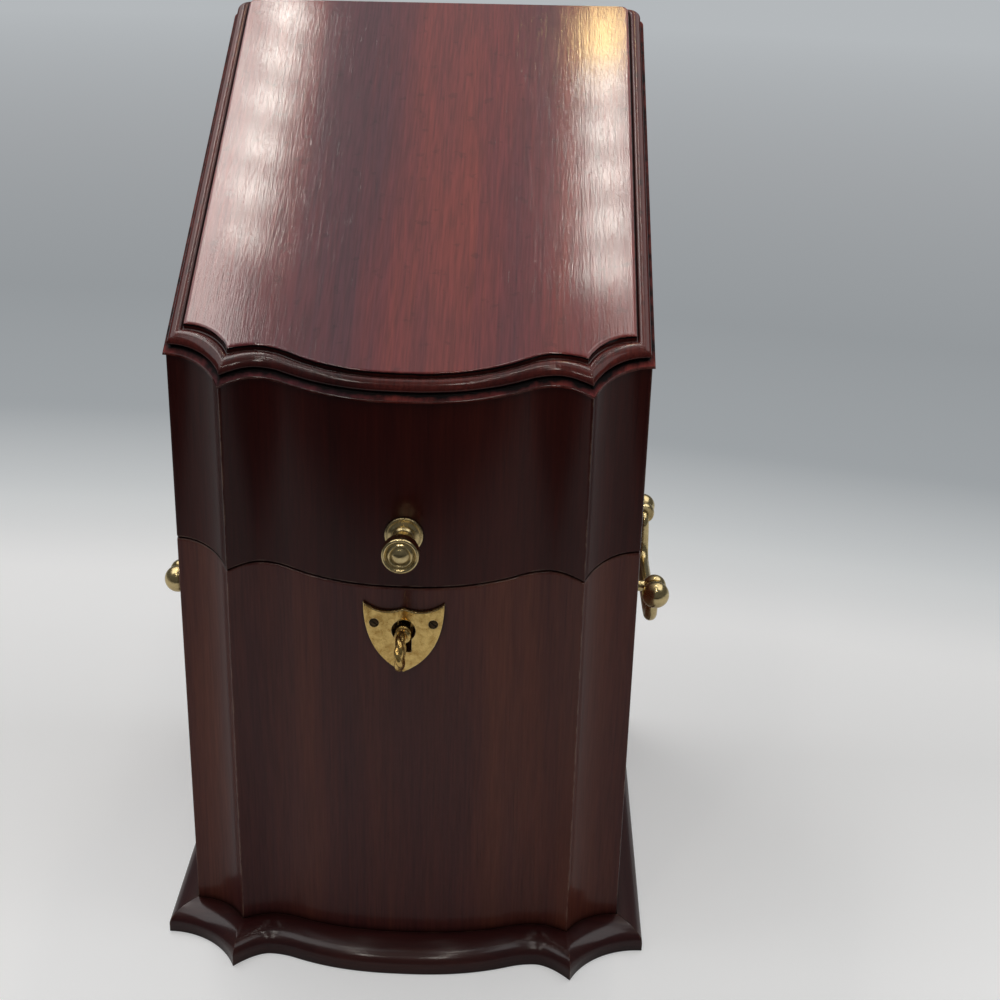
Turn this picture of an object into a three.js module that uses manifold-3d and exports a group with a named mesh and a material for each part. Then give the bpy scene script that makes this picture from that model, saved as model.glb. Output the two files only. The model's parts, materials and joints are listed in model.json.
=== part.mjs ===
import * as THREE from 'three';
import { mergeVertices } from 'three/addons/utils/BufferGeometryUtils.js';
import Module from 'manifold-3d';

// A serpentine-front knife box in millimetres, +Z up, its front toward -Y.
// While the pieces are made, y is 0 at the front corners of the carcase, x is 0 at its middle
// and z is 0 at the table. The whole box is moved onto its own bottom centre at the end.

// Carcase and lid
const carcaseWidth = 195;
const carcaseDepth = 196;
const seamHeight = 196;
const lidSlope = 0.55;
const lidWallHeight = 82;
const sideThickness = 9.5;
const backThickness = 9.5;
const frontThickness = 9;
const bottomThickness = 8;
const seamGap = 0.5;
const jointGap = 0.1;
const fitGap = 0.3;
const halfWidth = carcaseWidth / 2;
const insideHalfWidth = halfWidth - sideThickness;
const insideBack = carcaseDepth - backThickness;

// The plan line of the front: two outer hollows, two points, two inner hollows and the bow
const bowDepth = 19;
const carcaseLine = {
  cornerX: halfWidth,
  cornerY: 0,
  pointX: halfWidth * 0.76,
  pointY: -14.5,
  hollowX: halfWidth * 0.62,
  hollowY: -9.7,
  centreY: -bowDepth,
};
const outerHollowAngle = 66 * Math.PI / 180;
const pointPower = 1.7;
const bowFullness = 2.4;
const bowTurn = 0.8;
const bowSteps = 11;
const innerHollowSteps = 5;
const outerHollowSteps = 8;

// How far the base moulding stands out from that line, and how far the lid's raised field lies inside it
const baseSpread = { side: 11.3, corner: 11.5, point: 19.5, pointAside: 1.6, hollow: 14.6, centre: 15.5 };
const fieldInset = { side: 6.5, corner: 6.5, point: 9.8, pointAside: 2.5, hollow: 7, centre: 5 };
const baseHeight = 11.5;
const baseEdgeHeight = 4.5;
const lidEdgeHeight = 7.3;
const lipShare = 0.09;
const lipHeight = 1.2;
const coveHeight = 2.1;
const beadShare = -0.55;
const beadReach = 0.45;
const beadMiddle = 3.9;
const beadRise = 2.1;
const lidCornerRadius = 3;

// Cutlery board
const boardDrop = 7;
const boardThickness = 7;
const railWidth = 5;
const railHeight = 10;
const slotColumns = 5;
const knifeSlot = { width: 9, length: 24, round: 3 };
const forkSlot = { width: 13, length: 13, round: 3 };
const spoonSlot = { width: 22, length: 14, round: 6.5 };
const slotRows = [knifeSlot, knifeSlot, forkSlot, spoonSlot];

// Hinges at the back
const hingeLength = 38;
const hingeInset = 38.5;
const hingeSpacing = carcaseWidth - 2 * hingeInset;
const leafThickness = 1.2;
const leafWidth = 8;
const barrelRadius = 2.7;
const pinRadius = 1.1;
const barrelCount = 5;
const barrelGap = 0.2;

// Lock
const keyBelowSeam = 29;
const keyHeight = seamHeight - keyBelowSeam;
const lockWidth = 50;
const lockDepth = 17;
const lockBelowKey = 16;
const plateThickness = 1.2;
const boltThickness = 3;
const boltMiddle = 2;
const spineBottom = 11;
const spineHeight = 6;
const fingerBottom = 23;
const fingerHeight = 3;
const fingerLength = 6.5;
const hookWidth = 3;
const boltRoom = 1.2;
const boltOverrun = 1;
const tailX = 4.2;
const stapleThickness = 3;
const stapleSpacing = 24;
const stapleWeb = 1.2;
const stapleSlack = 0.6;
const catchInset = 4;
const catchDepth = 10;
const keyholeRadius = 5.1;
const keyholeSlotWidth = 6.8;
const keyholeSlotLength = 10;

// Key
const shankRadius = 2.6;
const bitLength = 8.5;
const bitThickness = 2;
const shankOut = 10;
const shankEnd = 7;
const collarOver = 0.8;
const bowLength = 21;
const bowHeight = 16;
const bowSink = 1.4;
const ropeRadius = 1.6;
const ropeLobe = 0.45;
const ropeTwists = 9;

// Escutcheon
const shieldWidth = 34;
const shieldHeight = 32;
const shieldAboveKey = 12.3;
const shieldThickness = 1.6;
const scallopDepth = 6.2;
const shieldPeak = 2.2;
const shieldScrewX = 12.3;
const shieldScrewDrop = 9.1;
const shieldScrewRadius = 1.95;
const screwSlotWidth = 0.7;
const screwSlotDepth = 0.6;
const screwSlotTurn = 0.9;

// Knob
const knobAboveSeam = 14;
const knobHeight = seamHeight + knobAboveSeam;
const knobLength = 22;
const knobRadius = 7.6;
const roseRadius = 7.9;
const roseThickness = 2;
const knobNeckRadius = 3.8;
const knobShankRadius = 2;
const knobShankLength = 14;

// Side handles
const handleBelowSeam = 45;
const handleHeight = seamHeight - handleBelowSeam;
const handleSetBack = 5;
const handleBore = 84;
const handleOut = 12.6;
const postRoseRadius = 5;
const postRoseThickness = 1.5;
const postStemRadius = 2.5;
const postHeadRadius = 5.4;
const postHeadHalf = 2.6;
const postShankRadius = 2;
const postShankLength = 13.5;
const nutRadius = 4;
const nutThickness = 2.5;
const ballRadius = 6.2;
const ballFlat = 0.4;
const wireRadius = 2.2;
const gripSwell = 1.1;
const neckInset = 7;
const neckTurn = 4.2;
const gripTurn = 10;
const bailDrop = 21.7;

const wasm = await Module();
wasm.setup();
const { Manifold, Mesh } = wasm;

const seamAt = (y) => seamHeight + lidSlope * y;
const lidBottomAt = (y) => seamAt(y) + seamGap;
const lidTopBoardAt = (y) => seamAt(y) + lidWallHeight;
const level = (z) => () => z;
const handleMiddle = carcaseDepth / 2 + handleSetBack;

// Solids

function toSolid(geometry) {
  const clean = geometry.clone();
  clean.deleteAttribute('normal');
  clean.deleteAttribute('uv');
  const merged = mergeVertices(clean, 1e-4);
  const mesh = new Mesh({
    numProp: 3,
    vertProperties: Float32Array.from(merged.attributes.position.array),
    triVerts: Uint32Array.from(merged.index.array),
  });
  return new Manifold(mesh);
}

function fromSolid(solid) {
  const mesh = solid.getMesh();
  const geometry = new THREE.BufferGeometry();
  geometry.setAttribute('position', new THREE.BufferAttribute(Float32Array.from(mesh.vertProperties), 3));
  geometry.setIndex(new THREE.BufferAttribute(Uint32Array.from(mesh.triVerts), 1));
  return geometry;
}

function joined(...geometries) {
  return fromSolid(geometries.map(toSolid).reduce((sum, solid) => sum.add(solid)));
}

function cut(geometry, ...tools) {
  return fromSolid(tools.map(toSolid).reduce((rest, tool) => rest.subtract(tool), toSolid(geometry)));
}

function common(first, second) {
  return fromSolid(toSolid(first).intersect(toSolid(second)));
}

function signedVolume(positions) {
  let sum = 0;
  for (let i = 0; i < positions.length; i += 3) {
    const [a, b, c] = positions.slice(i, i + 3);
    sum += a.dot(b.clone().cross(c));
  }
  return sum;
}

// Joins loops of points into a solid; the outlines are the flat shapes of its two ends.
function loft(loops, startOutline, endOutline = startOutline) {
  const clockwise = THREE.ShapeUtils.isClockWise(startOutline);
  const turn = (points) => (clockwise ? [...points].reverse() : points);
  const rings = loops.map(turn);
  const corners = [];
  for (let s = 0; s + 1 < rings.length; s++) {
    for (let i = 0; i < rings[s].length; i++) {
      const j = (i + 1) % rings[s].length;
      corners.push(rings[s][i], rings[s][j], rings[s + 1][j]);
      corners.push(rings[s][i], rings[s + 1][j], rings[s + 1][i]);
    }
  }
  const last = rings.length - 1;
  for (const [a, b, c] of THREE.ShapeUtils.triangulateShape(turn(startOutline), [])) {
    corners.push(rings[0][c], rings[0][b], rings[0][a]);
  }
  for (const [a, b, c] of THREE.ShapeUtils.triangulateShape(turn(endOutline), [])) {
    corners.push(rings[last][a], rings[last][b], rings[last][c]);
  }
  return fromCorners(corners);
}

// Joins loops of points into a closed ring.
function loftRing(loops) {
  const corners = [];
  loops.forEach((ring, s) => {
    const next = loops[(s + 1) % loops.length];
    ring.forEach((point, i) => {
      const j = (i + 1) % ring.length;
      corners.push(point, ring[j], next[j]);
      corners.push(point, next[j], next[i]);
    });
  });
  return fromCorners(corners);
}

function fromCorners(corners) {
  if (signedVolume(corners) < 0) {
    corners.reverse();
  }
  const geometry = new THREE.BufferGeometry().setFromPoints(corners);
  return mergeVertices(geometry, 1e-5);
}

// A piece with upright sides whose under and upper faces may slope from front to back.
function wall(outline, bottomAt, topAt) {
  const bottom = outline.map((p) => new THREE.Vector3(p.x, p.y, bottomAt(p.y)));
  const top = outline.map((p) => new THREE.Vector3(p.x, p.y, topAt(p.y)));
  return loft([bottom, top], outline);
}

function rectangle(x0, x1, y0, y1) {
  return [
    new THREE.Vector2(x0, y0),
    new THREE.Vector2(x1, y0),
    new THREE.Vector2(x1, y1),
    new THREE.Vector2(x0, y1),
  ];
}

function box(x0, x1, y0, y1, z0, z1) {
  return wall(rectangle(x0, x1, y0, y1), level(z0), level(z1));
}

// A flat shape drawn in x and z, given thickness from y0 to y1.
function plateAlongY(shape, y0, y1, curveSegments = 12) {
  const geometry = new THREE.ExtrudeGeometry(shape, { depth: y1 - y0, bevelEnabled: false, curveSegments });
  geometry.rotateX(Math.PI / 2);
  geometry.translate(0, y1, 0);
  return geometry;
}

function turned(profile, segments = 20) {
  const points = profile.map(([radius, along]) => new THREE.Vector2(radius, along));
  return new THREE.LatheGeometry(points, segments);
}

function rod(radius, length, segments = 16) {
  return turned([[0, 0], [radius, 0], [radius, length], [0, length]], segments);
}

// The serpentine line

function movedLine(spread, share) {
  return {
    cornerX: carcaseLine.cornerX + spread.side * share,
    cornerY: carcaseLine.cornerY - spread.corner * share,
    pointX: carcaseLine.pointX + spread.pointAside * share,
    pointY: carcaseLine.pointY - spread.point * share,
    hollowX: carcaseLine.hollowX,
    hollowY: carcaseLine.hollowY - spread.hollow * share,
    centreY: carcaseLine.centreY - spread.centre * share,
  };
}

// Depth across the bow, from 0 at its middle to 1 in the inner hollow.
function bowRise(t) {
  const reverse = bowFullness * bowTurn ** (bowFullness - 1) / (2 * (1 - bowTurn));
  const scale = 1 / (bowTurn ** bowFullness + reverse * (1 - bowTurn) ** 2);
  return t < bowTurn ? scale * t ** bowFullness : 1 - scale * reverse * (1 - t) ** 2;
}

function bowDepthAt(line, x) {
  return line.centreY + (line.hollowY - line.centreY) * bowRise(Math.abs(x) / line.hollowX);
}

function halfFront(line) {
  const points = [];
  for (let i = 0; i <= bowSteps; i++) {
    const x = line.hollowX * i / bowSteps;
    points.push(new THREE.Vector2(x, bowDepthAt(line, x)));
  }
  for (let i = 1; i <= innerHollowSteps; i++) {
    const t = i / innerHollowSteps;
    const x = line.hollowX + (line.pointX - line.hollowX) * t;
    points.push(new THREE.Vector2(x, line.hollowY + (line.pointY - line.hollowY) * t ** pointPower));
  }
  for (let i = outerHollowSteps - 1; i >= 0; i--) {
    const angle = outerHollowAngle * i / outerHollowSteps;
    const x = line.cornerX - (line.cornerX - line.pointX) * Math.sin(angle) / Math.sin(outerHollowAngle);
    const drop = (1 - Math.cos(angle)) / (1 - Math.cos(outerHollowAngle));
    points.push(new THREE.Vector2(x, line.cornerY + (line.pointY - line.cornerY) * drop));
  }
  return points;
}

function frontCurve(line) {
  const right = halfFront(line);
  const left = right.slice(1).reverse().map((p) => new THREE.Vector2(-p.x, p.y));
  return [...left, ...right];
}

// The front curve closed by straight sides and a straight back.
function frontOutline(line, backY) {
  return [
    ...frontCurve(line),
    new THREE.Vector2(line.cornerX, backY),
    new THREE.Vector2(-line.cornerX, backY),
  ];
}

function roundedBackOutline(line, backY, radius) {
  const corner = (side, from) => [0, 1, 2, 3].map((i) => {
    const angle = from + i * Math.PI / 6;
    const x = side * (line.cornerX - radius) + radius * Math.cos(angle);
    return new THREE.Vector2(x, backY - radius + radius * Math.sin(angle));
  });
  return [...frontCurve(line), ...corner(1, 0), ...corner(-1, Math.PI / 2)];
}

// Carcase

function keyholeShape(radius, slotWidth, slotLength) {
  const half = slotWidth / 2;
  const meet = Math.asin(half / radius);
  const shape = new THREE.Shape();
  shape.moveTo(half, keyHeight - slotLength);
  shape.lineTo(half, keyHeight - radius * Math.cos(meet));
  shape.absarc(0, keyHeight, radius, meet - Math.PI / 2, 1.5 * Math.PI - meet, false);
  shape.lineTo(-half, keyHeight - slotLength);
  shape.closePath();
  return shape;
}

function keyholeCutter() {
  return plateAlongY(
    keyholeShape(keyholeRadius, keyholeSlotWidth, keyholeSlotLength),
    -2 * bowDepth,
    frontThickness,
    10,
  );
}

const lockFront = frontThickness - lockDepth;
const lockBottom = keyHeight - lockBelowKey;

function makeCarcaseFront() {
  const front = wall(frontOutline(carcaseLine, frontThickness), level(bottomThickness + jointGap), seamAt);
  const lockHalf = lockWidth / 2 + fitGap;
  const outline = rectangle(-lockHalf, lockHalf, lockFront - fitGap, frontThickness + 1);
  const recess = wall(outline, level(lockBottom - fitGap), (y) => seamAt(y) + 1);
  return cut(front, recess, keyholeCutter());
}

function makeCarcaseSide(side) {
  const inner = side * insideHalfWidth;
  const outer = side * halfWidth;
  const outline = rectangle(inner, outer, frontThickness + jointGap, insideBack - jointGap);
  const board = wall(outline, level(bottomThickness + jointGap), seamAt);
  return cut(board, ...[-1, 1].map((end) => postHole(side, end)));
}

function makeCarcaseBack() {
  const outline = rectangle(-halfWidth, halfWidth, insideBack, carcaseDepth);
  const board = wall(outline, level(bottomThickness + jointGap), seamAt);
  return cut(board, ...hingeMiddles.map((x) => leafPocket(x, -1)));
}

function makeCarcaseBottom() {
  return wall(frontOutline(carcaseLine, carcaseDepth), level(0), level(bottomThickness));
}

// Base moulding: an ovolo over a short upright edge

const baseProfile = [
  new THREE.Vector2(0, 0),
  new THREE.Vector2(1, 0),
  new THREE.Vector2(1, baseEdgeHeight),
  ...[1, 2, 3, 4, 5, 6].map((i) => {
    const angle = i * Math.PI / 12;
    const rise = (baseHeight - baseEdgeHeight) * Math.sin(angle);
    return new THREE.Vector2(Math.cos(angle), baseEdgeHeight + rise);
  }),
];
const baseLines = baseProfile.map((p) => movedLine(baseSpread, fitGap / baseSpread.side + p.x));

function makeBaseFront() {
  const curves = baseLines.map(frontCurve);
  const loops = curves[0].map((_, i) => curves.map((curve, k) => (
    new THREE.Vector3(curve[i].x, curve[i].y, baseProfile[k].y)
  )));
  return loft(loops, baseProfile);
}

function makeBaseSide(side) {
  const mitre = baseLines.map((line, k) => (
    new THREE.Vector3(side * line.cornerX, line.cornerY + fitGap, baseProfile[k].y)
  ));
  const back = mitre.map((p) => new THREE.Vector3(p.x, carcaseDepth, p.z));
  return loft([mitre, back], baseProfile);
}

// Lid

// Lip, cove, bead and raised field, as shares of the inset and heights above the lid walls
const lidProfile = [
  [lipShare, 0],
  [lipShare, lipHeight],
  [-2 * lipShare, (2 * lipHeight + coveHeight) / 3],
  [-3 * lipShare, coveHeight],
  ...[-2, -1, 0, 1, 2, 3, 4].map((i) => {
    const angle = i * Math.PI / 8;
    return [beadShare + beadReach * Math.cos(angle), beadMiddle + beadRise * Math.sin(angle)];
  }),
  [-1, beadMiddle + beadRise],
  [-1, lidEdgeHeight],
];

function makeLidTop() {
  const outlines = lidProfile.map(([share]) => roundedBackOutline(
    share > 0 ? movedLine(baseSpread, share) : movedLine(fieldInset, share),
    carcaseDepth,
    lidCornerRadius,
  ));
  const loops = outlines.map((outline, k) => outline.map((p) => (
    new THREE.Vector3(p.x, p.y, lidTopBoardAt(p.y) + lidProfile[k][1])
  )));
  return loft(loops, outlines[0], outlines[outlines.length - 1]);
}

const lidWallTop = (y) => lidTopBoardAt(y) - jointGap;

function makeLidFront() {
  const front = wall(frontOutline(carcaseLine, frontThickness), lidBottomAt, lidWallTop);
  const screwHole = rod(knobShankRadius + fitGap, knobShankLength + 2);
  screwHole.translate(0, carcaseLine.centreY - 1, knobHeight);
  return cut(front, screwHole, catchPlateBlank(fitGap));
}

function makeLidSide(side) {
  const outline = rectangle(
    side * insideHalfWidth,
    side * halfWidth,
    frontThickness + jointGap,
    insideBack - jointGap,
  );
  return wall(outline, lidBottomAt, lidWallTop);
}

function makeLidBack() {
  const outline = rectangle(-halfWidth, halfWidth, insideBack, carcaseDepth);
  return cut(wall(outline, lidBottomAt, lidWallTop), ...hingeMiddles.map((x) => leafPocket(x, 1)));
}

// Cutlery board on its rails

function roundedSlot(middleX, middleY, slot) {
  const x = slot.width / 2;
  const y = slot.length / 2;
  const r = slot.round;
  const hole = new THREE.Path();
  hole.moveTo(middleX - x + r, middleY - y);
  hole.lineTo(middleX + x - r, middleY - y);
  hole.absarc(middleX + x - r, middleY - y + r, r, -Math.PI / 2, 0, false);
  hole.lineTo(middleX + x, middleY + y - r);
  hole.absarc(middleX + x - r, middleY + y - r, r, 0, Math.PI / 2, false);
  hole.lineTo(middleX - x + r, middleY + y);
  hole.absarc(middleX - x + r, middleY + y - r, r, Math.PI / 2, Math.PI, false);
  hole.lineTo(middleX - x, middleY - y + r);
  hole.absarc(middleX - x + r, middleY - y + r, r, Math.PI, 1.5 * Math.PI, false);
  return hole;
}

function slopedUp(geometry, bottomAt) {
  const position = geometry.attributes.position;
  for (let i = 0; i < position.count; i++) {
    position.setZ(i, position.getZ(i) + bottomAt(position.getY(i)));
  }
  return geometry;
}

const boardTopAt = (y) => seamAt(y) - boardDrop;
const boardBottomAt = (y) => boardTopAt(y) - boardThickness;

function makeCutleryBoard() {
  const x = insideHalfWidth - fitGap;
  const y0 = frontThickness + fitGap;
  const y1 = insideBack - fitGap;
  const shape = new THREE.Shape(rectangle(-x, x, y0, y1));
  const columnPitch = 2 * x / slotColumns;
  const rowPitch = (y1 - y0) / slotRows.length;
  slotRows.forEach((slot, row) => {
    for (let column = 0; column < slotColumns; column++) {
      const middleX = -x + columnPitch * (column + 0.5);
      shape.holes.push(roundedSlot(middleX, y0 + rowPitch * (row + 0.5), slot));
    }
  });
  const settings = { depth: boardThickness, bevelEnabled: false, curveSegments: 2 };
  return slopedUp(new THREE.ExtrudeGeometry(shape, settings), boardBottomAt);
}

function makeRail(side) {
  const outer = side * (insideHalfWidth - jointGap);
  const outline = rectangle(
    outer - side * railWidth,
    outer,
    frontThickness + fitGap,
    insideBack - fitGap,
  );
  return wall(outline, (y) => boardBottomAt(y) - railHeight, (y) => boardBottomAt(y) - jointGap);
}

// Hinges

const hingeMiddles = [-hingeSpacing / 2, hingeSpacing / 2];
const hingeY = carcaseDepth + barrelRadius + fitGap;
const hingeZ = seamAt(hingeY) + seamGap / 2;
const slopeAngle = Math.atan(lidSlope);

// Moves a piece drawn level round the hinge line into the slope of the seam.
function ontoSeam(geometry, x) {
  geometry.rotateX(slopeAngle);
  geometry.translate(x, hingeY, hingeZ);
  return geometry;
}

function leafReach() {
  return (barrelRadius + fitGap) / Math.cos(slopeAngle) + leafWidth;
}

function leafPocket(x, side) {
  const half = hingeLength / 2 + fitGap;
  const deep = leafThickness + fitGap + barrelGap;
  const z = side > 0 ? [-1, deep] : [-deep, 1];
  return ontoSeam(box(-half, half, -leafReach() - fitGap, barrelRadius, z[0], z[1]), x);
}

function barrelLength() {
  return hingeLength / barrelCount;
}

function barrelPiece(index) {
  const length = barrelLength() - barrelGap;
  const barrel = rod(barrelRadius, length, 16);
  barrel.rotateZ(-Math.PI / 2);
  barrel.translate(-hingeLength / 2 + barrelLength() * index + barrelGap / 2, 0, 0);
  return barrel;
}

function makeLeaf(x, side) {
  const half = hingeLength / 2;
  const near = side * barrelGap;
  const far = side * (barrelGap + leafThickness);
  const plate = box(-half, half, -leafReach(), 0, Math.min(near, far), Math.max(near, far));
  const indices = [...Array(barrelCount).keys()];
  const own = indices.filter((i) => (i % 2 === 0) === (side < 0));
  const others = indices.filter((i) => !own.includes(i));
  const clearances = others.map((i) => {
    const start = -half + barrelLength() * i;
    return box(
      start - barrelGap / 2,
      start + barrelLength() + barrelGap / 2,
      -barrelRadius - fitGap,
      barrelRadius + 1,
      -barrelRadius - 1,
      barrelRadius + 1,
    );
  });
  const bore = rod(pinRadius + barrelGap / 2, hingeLength + 2, 12);
  bore.rotateZ(-Math.PI / 2);
  bore.translate(-half - 1, 0, 0);
  const leaf = joined(cut(plate, ...clearances), ...own.map(barrelPiece));
  return ontoSeam(cut(leaf, bore), x);
}

function makeHingePin(x) {
  const pin = rod(pinRadius, hingeLength, 12);
  pin.rotateZ(-Math.PI / 2);
  pin.translate(-hingeLength / 2, 0, 0);
  return ontoSeam(pin, x);
}

// Lock

const lockTopAt = (y) => seamAt(y) - fitGap;
const boltFront = boltMiddle - boltThickness / 2;
const boltBack = boltMiddle + boltThickness / 2;
const boltLeft = boltRoom + plateThickness - lockWidth / 2;
const firstStapleX = boltLeft + hookWidth + fingerLength + stapleSlack + stapleThickness / 2;
const stapleX = [firstStapleX, firstStapleX + stapleSpacing];
const coverFront = frontThickness - plateThickness;

function makeLockCase() {
  const half = lockWidth / 2;
  const inner = half - plateThickness;
  const outer = wall(rectangle(-half, half, lockFront, coverFront - jointGap), level(lockBottom), lockTopAt);
  const hollow = wall(
    rectangle(-inner, inner, lockFront + plateThickness, frontThickness),
    level(lockBottom + plateThickness),
    (y) => seamAt(y) + 1,
  );
  const guideTop = keyHeight + spineBottom - fitGap;
  const guide = box(
    -inner - plateThickness / 2,
    tailX - hookWidth,
    lockFront + plateThickness / 2,
    boltBack,
    guideTop - plateThickness,
    guideTop,
  );
  const hole = plateAlongY(
    keyholeShape(shankRadius + fitGap, bitThickness + 2 * fitGap, bitLength + fitGap),
    lockFront - 1,
    lockFront + plateThickness + 1,
    10,
  );
  return cut(joined(cut(outer, hollow), guide), hole);
}

function makeLockCover() {
  const half = lockWidth / 2;
  return wall(rectangle(-half, half, coverFront, frontThickness), level(lockBottom), lockTopAt);
}

// The bolt: a spine with two hooks for the staples and a tail that the key pushes.
function makeBolt() {
  const spineLow = keyHeight + spineBottom;
  const spineTop = spineLow + spineHeight;
  const fingerLow = keyHeight + fingerBottom;
  const fingerTop = fingerLow + fingerHeight;
  const tips = stapleX.map((x) => x - stapleThickness / 2 - stapleSlack);
  const roots = tips.map((x) => x - fingerLength);
  const spineRight = tips[1] + boltOverrun;
  const tailEnd = keyHeight - bitLength;
  const outline = [
    [boltLeft, spineLow],
    [tailX, spineLow],
    [tailX, tailEnd],
    [tailX + hookWidth, tailEnd],
    [tailX + hookWidth, spineLow],
    [spineRight, spineLow],
    [spineRight, spineTop],
    [roots[1], spineTop],
    [roots[1], fingerLow],
    [tips[1], fingerLow],
    [tips[1], fingerTop],
    [roots[1] - hookWidth, fingerTop],
    [roots[1] - hookWidth, spineTop],
    [roots[0], spineTop],
    [roots[0], fingerLow],
    [tips[0], fingerLow],
    [tips[0], fingerTop],
    [boltLeft, fingerTop],
  ];
  return plateAlongY(new THREE.Shape(outline.map(([x, z]) => new THREE.Vector2(x, z))), boltFront, boltBack);
}

const catchHalf = lockWidth / 2 - catchInset;

function catchPlateBlank(grow) {
  const outline = rectangle(
    -catchHalf - grow,
    catchHalf + grow,
    boltMiddle - catchDepth / 2 - grow,
    boltMiddle + catchDepth / 2 + grow,
  );
  return wall(outline, (y) => lidBottomAt(y) - grow, (y) => lidBottomAt(y) + plateThickness + grow);
}

function makeCatchPlate() {
  const web = stapleWeb;
  const holeHalf = boltThickness / 2 + stapleSlack;
  const half = holeHalf + web;
  const holeLow = keyHeight + fingerBottom - stapleSlack;
  const holeHigh = keyHeight + fingerBottom + fingerHeight + stapleSlack;
  const thin = stapleThickness / 2;
  const staples = stapleX.map((x) => wall(
    rectangle(x - thin, x + thin, boltMiddle - half, boltMiddle + half),
    level(holeLow - web),
    (y) => lidBottomAt(y) + plateThickness / 2,
  ));
  const holes = stapleX.map((x) => box(
    x - stapleThickness,
    x + stapleThickness,
    boltMiddle - holeHalf,
    boltMiddle + holeHalf,
    holeLow,
    holeHigh,
  ));
  return cut(joined(catchPlateBlank(0), ...staples), ...holes);
}

// Escutcheon

// A skin over the bow of the front, from one distance in front of it to another.
function bowSkin(near, far) {
  const reach = shieldWidth / 2 + 4;
  const steps = 16;
  const xs = [...Array(steps + 1).keys()].map((i) => reach * (2 * i / steps - 1));
  const outer = xs.map((x) => new THREE.Vector2(x, bowDepthAt(carcaseLine, x) - far));
  const inner = xs.map((x) => new THREE.Vector2(x, bowDepthAt(carcaseLine, x) - near)).reverse();
  return wall([...outer, ...inner], level(keyHeight - shieldHeight), level(keyHeight + shieldHeight));
}

function shieldShape() {
  const half = shieldWidth / 2;
  const top = keyHeight + shieldAboveKey;
  const tip = top - shieldHeight;
  const shape = new THREE.Shape();
  shape.moveTo(half, top);
  shape.quadraticCurveTo(half * 0.52, top - scallopDepth, 0, top - shieldPeak);
  shape.quadraticCurveTo(-half * 0.52, top - scallopDepth, -half, top);
  shape.bezierCurveTo(-half, top - shieldHeight * 0.44, -half * 0.74, top - shieldHeight * 0.81, 0, tip);
  shape.bezierCurveTo(half * 0.74, top - shieldHeight * 0.81, half, top - shieldHeight * 0.44, half, top);
  return shape;
}

const shieldScrewHeight = keyHeight + shieldAboveKey - shieldScrewDrop;

function makeEscutcheon() {
  const shape = shieldShape();
  shape.holes.push(keyholeShape(keyholeRadius, keyholeSlotWidth, keyholeSlotLength));
  for (const side of [-1, 1]) {
    const hole = new THREE.Path();
    hole.absarc(side * shieldScrewX, shieldScrewHeight, shieldScrewRadius + jointGap, 0, 2 * Math.PI, false);
    shape.holes.push(hole);
  }
  return common(plateAlongY(shape, -2 * bowDepth, 0, 14), bowSkin(fitGap, fitGap + shieldThickness));
}

function makeShieldScrew(side) {
  const surface = bowDepthAt(carcaseLine, shieldScrewX) - fitGap;
  const screw = turned([
    [0, jointGap],
    [shieldScrewRadius, jointGap],
    [shieldScrewRadius, shieldThickness - screwSlotDepth],
    [shieldScrewRadius * 0.8, shieldThickness - 2 * jointGap],
    [0, shieldThickness - jointGap],
  ], 20);
  const slot = box(
    -screwSlotWidth / 2,
    screwSlotWidth / 2,
    shieldThickness - screwSlotDepth - jointGap,
    shieldThickness + 1,
    -shieldScrewRadius * 2,
    shieldScrewRadius * 2,
  );
  slot.rotateY(screwSlotTurn);
  const head = cut(screw, slot);
  head.rotateX(Math.PI);
  head.translate(side * shieldScrewX, surface, shieldScrewHeight);
  return head;
}

// Key

// The oval bow is one rope of two twisted strands, closed on itself.
function twistedBow(middleY) {
  const stations = 54;
  const around = 8;
  const loops = [];
  for (let s = 0; s < stations; s++) {
    const angle = 2 * Math.PI * s / stations;
    const along = bowLength / 2 - ropeRadius;
    const across = bowHeight / 2 - ropeRadius;
    const centre = new THREE.Vector3(
      0,
      middleY + along * Math.cos(angle),
      keyHeight + across * Math.sin(angle),
    );
    const outward = new THREE.Vector3(0, across * Math.cos(angle), along * Math.sin(angle)).normalize();
    const aside = new THREE.Vector3(1, 0, 0);
    const twist = ropeTwists * angle / 2;
    const loop = [];
    for (let i = 0; i < around; i++) {
      const turn = 2 * Math.PI * i / around;
      const radius = ropeRadius - ropeLobe + ropeLobe * Math.cos(2 * (turn - twist));
      const point = centre.clone();
      point.addScaledVector(outward, radius * Math.cos(turn));
      point.addScaledVector(aside, radius * Math.sin(turn));
      loop.push(point);
    }
    loops.push(loop);
  }
  return loftRing(loops);
}

// The collars: shares of the shank's length outside the lock, and of the collars' height
const keyCollars = [
  [0, -0.38],
  [0.24, -0.38],
  [0.29, 1],
  [0.41, 1],
  [0.46, 0],
  [0.54, 0],
  [0.58, 0.75],
  [0.68, 0.75],
  [0.72, 0],
];

function makeKey() {
  const surface = carcaseLine.centreY;
  const shankStart = surface - shankOut;
  const length = shankEnd - shankStart;
  const collars = keyCollars.map(([along, over]) => [shankRadius + collarOver * over, shankOut * along]);
  const shank = turned([
    [0, 0],
    ...collars,
    [shankRadius, length],
    [0, length],
  ], 20);
  shank.translate(0, shankStart, keyHeight);
  const half = bitThickness / 2;
  const bit = box(-half, half, boltFront, boltBack, keyHeight - bitLength, keyHeight);
  const bow = twistedBow(shankStart - bowLength / 2 + bowSink);
  return joined(shank, bit, bow);
}

// Knob

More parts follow.
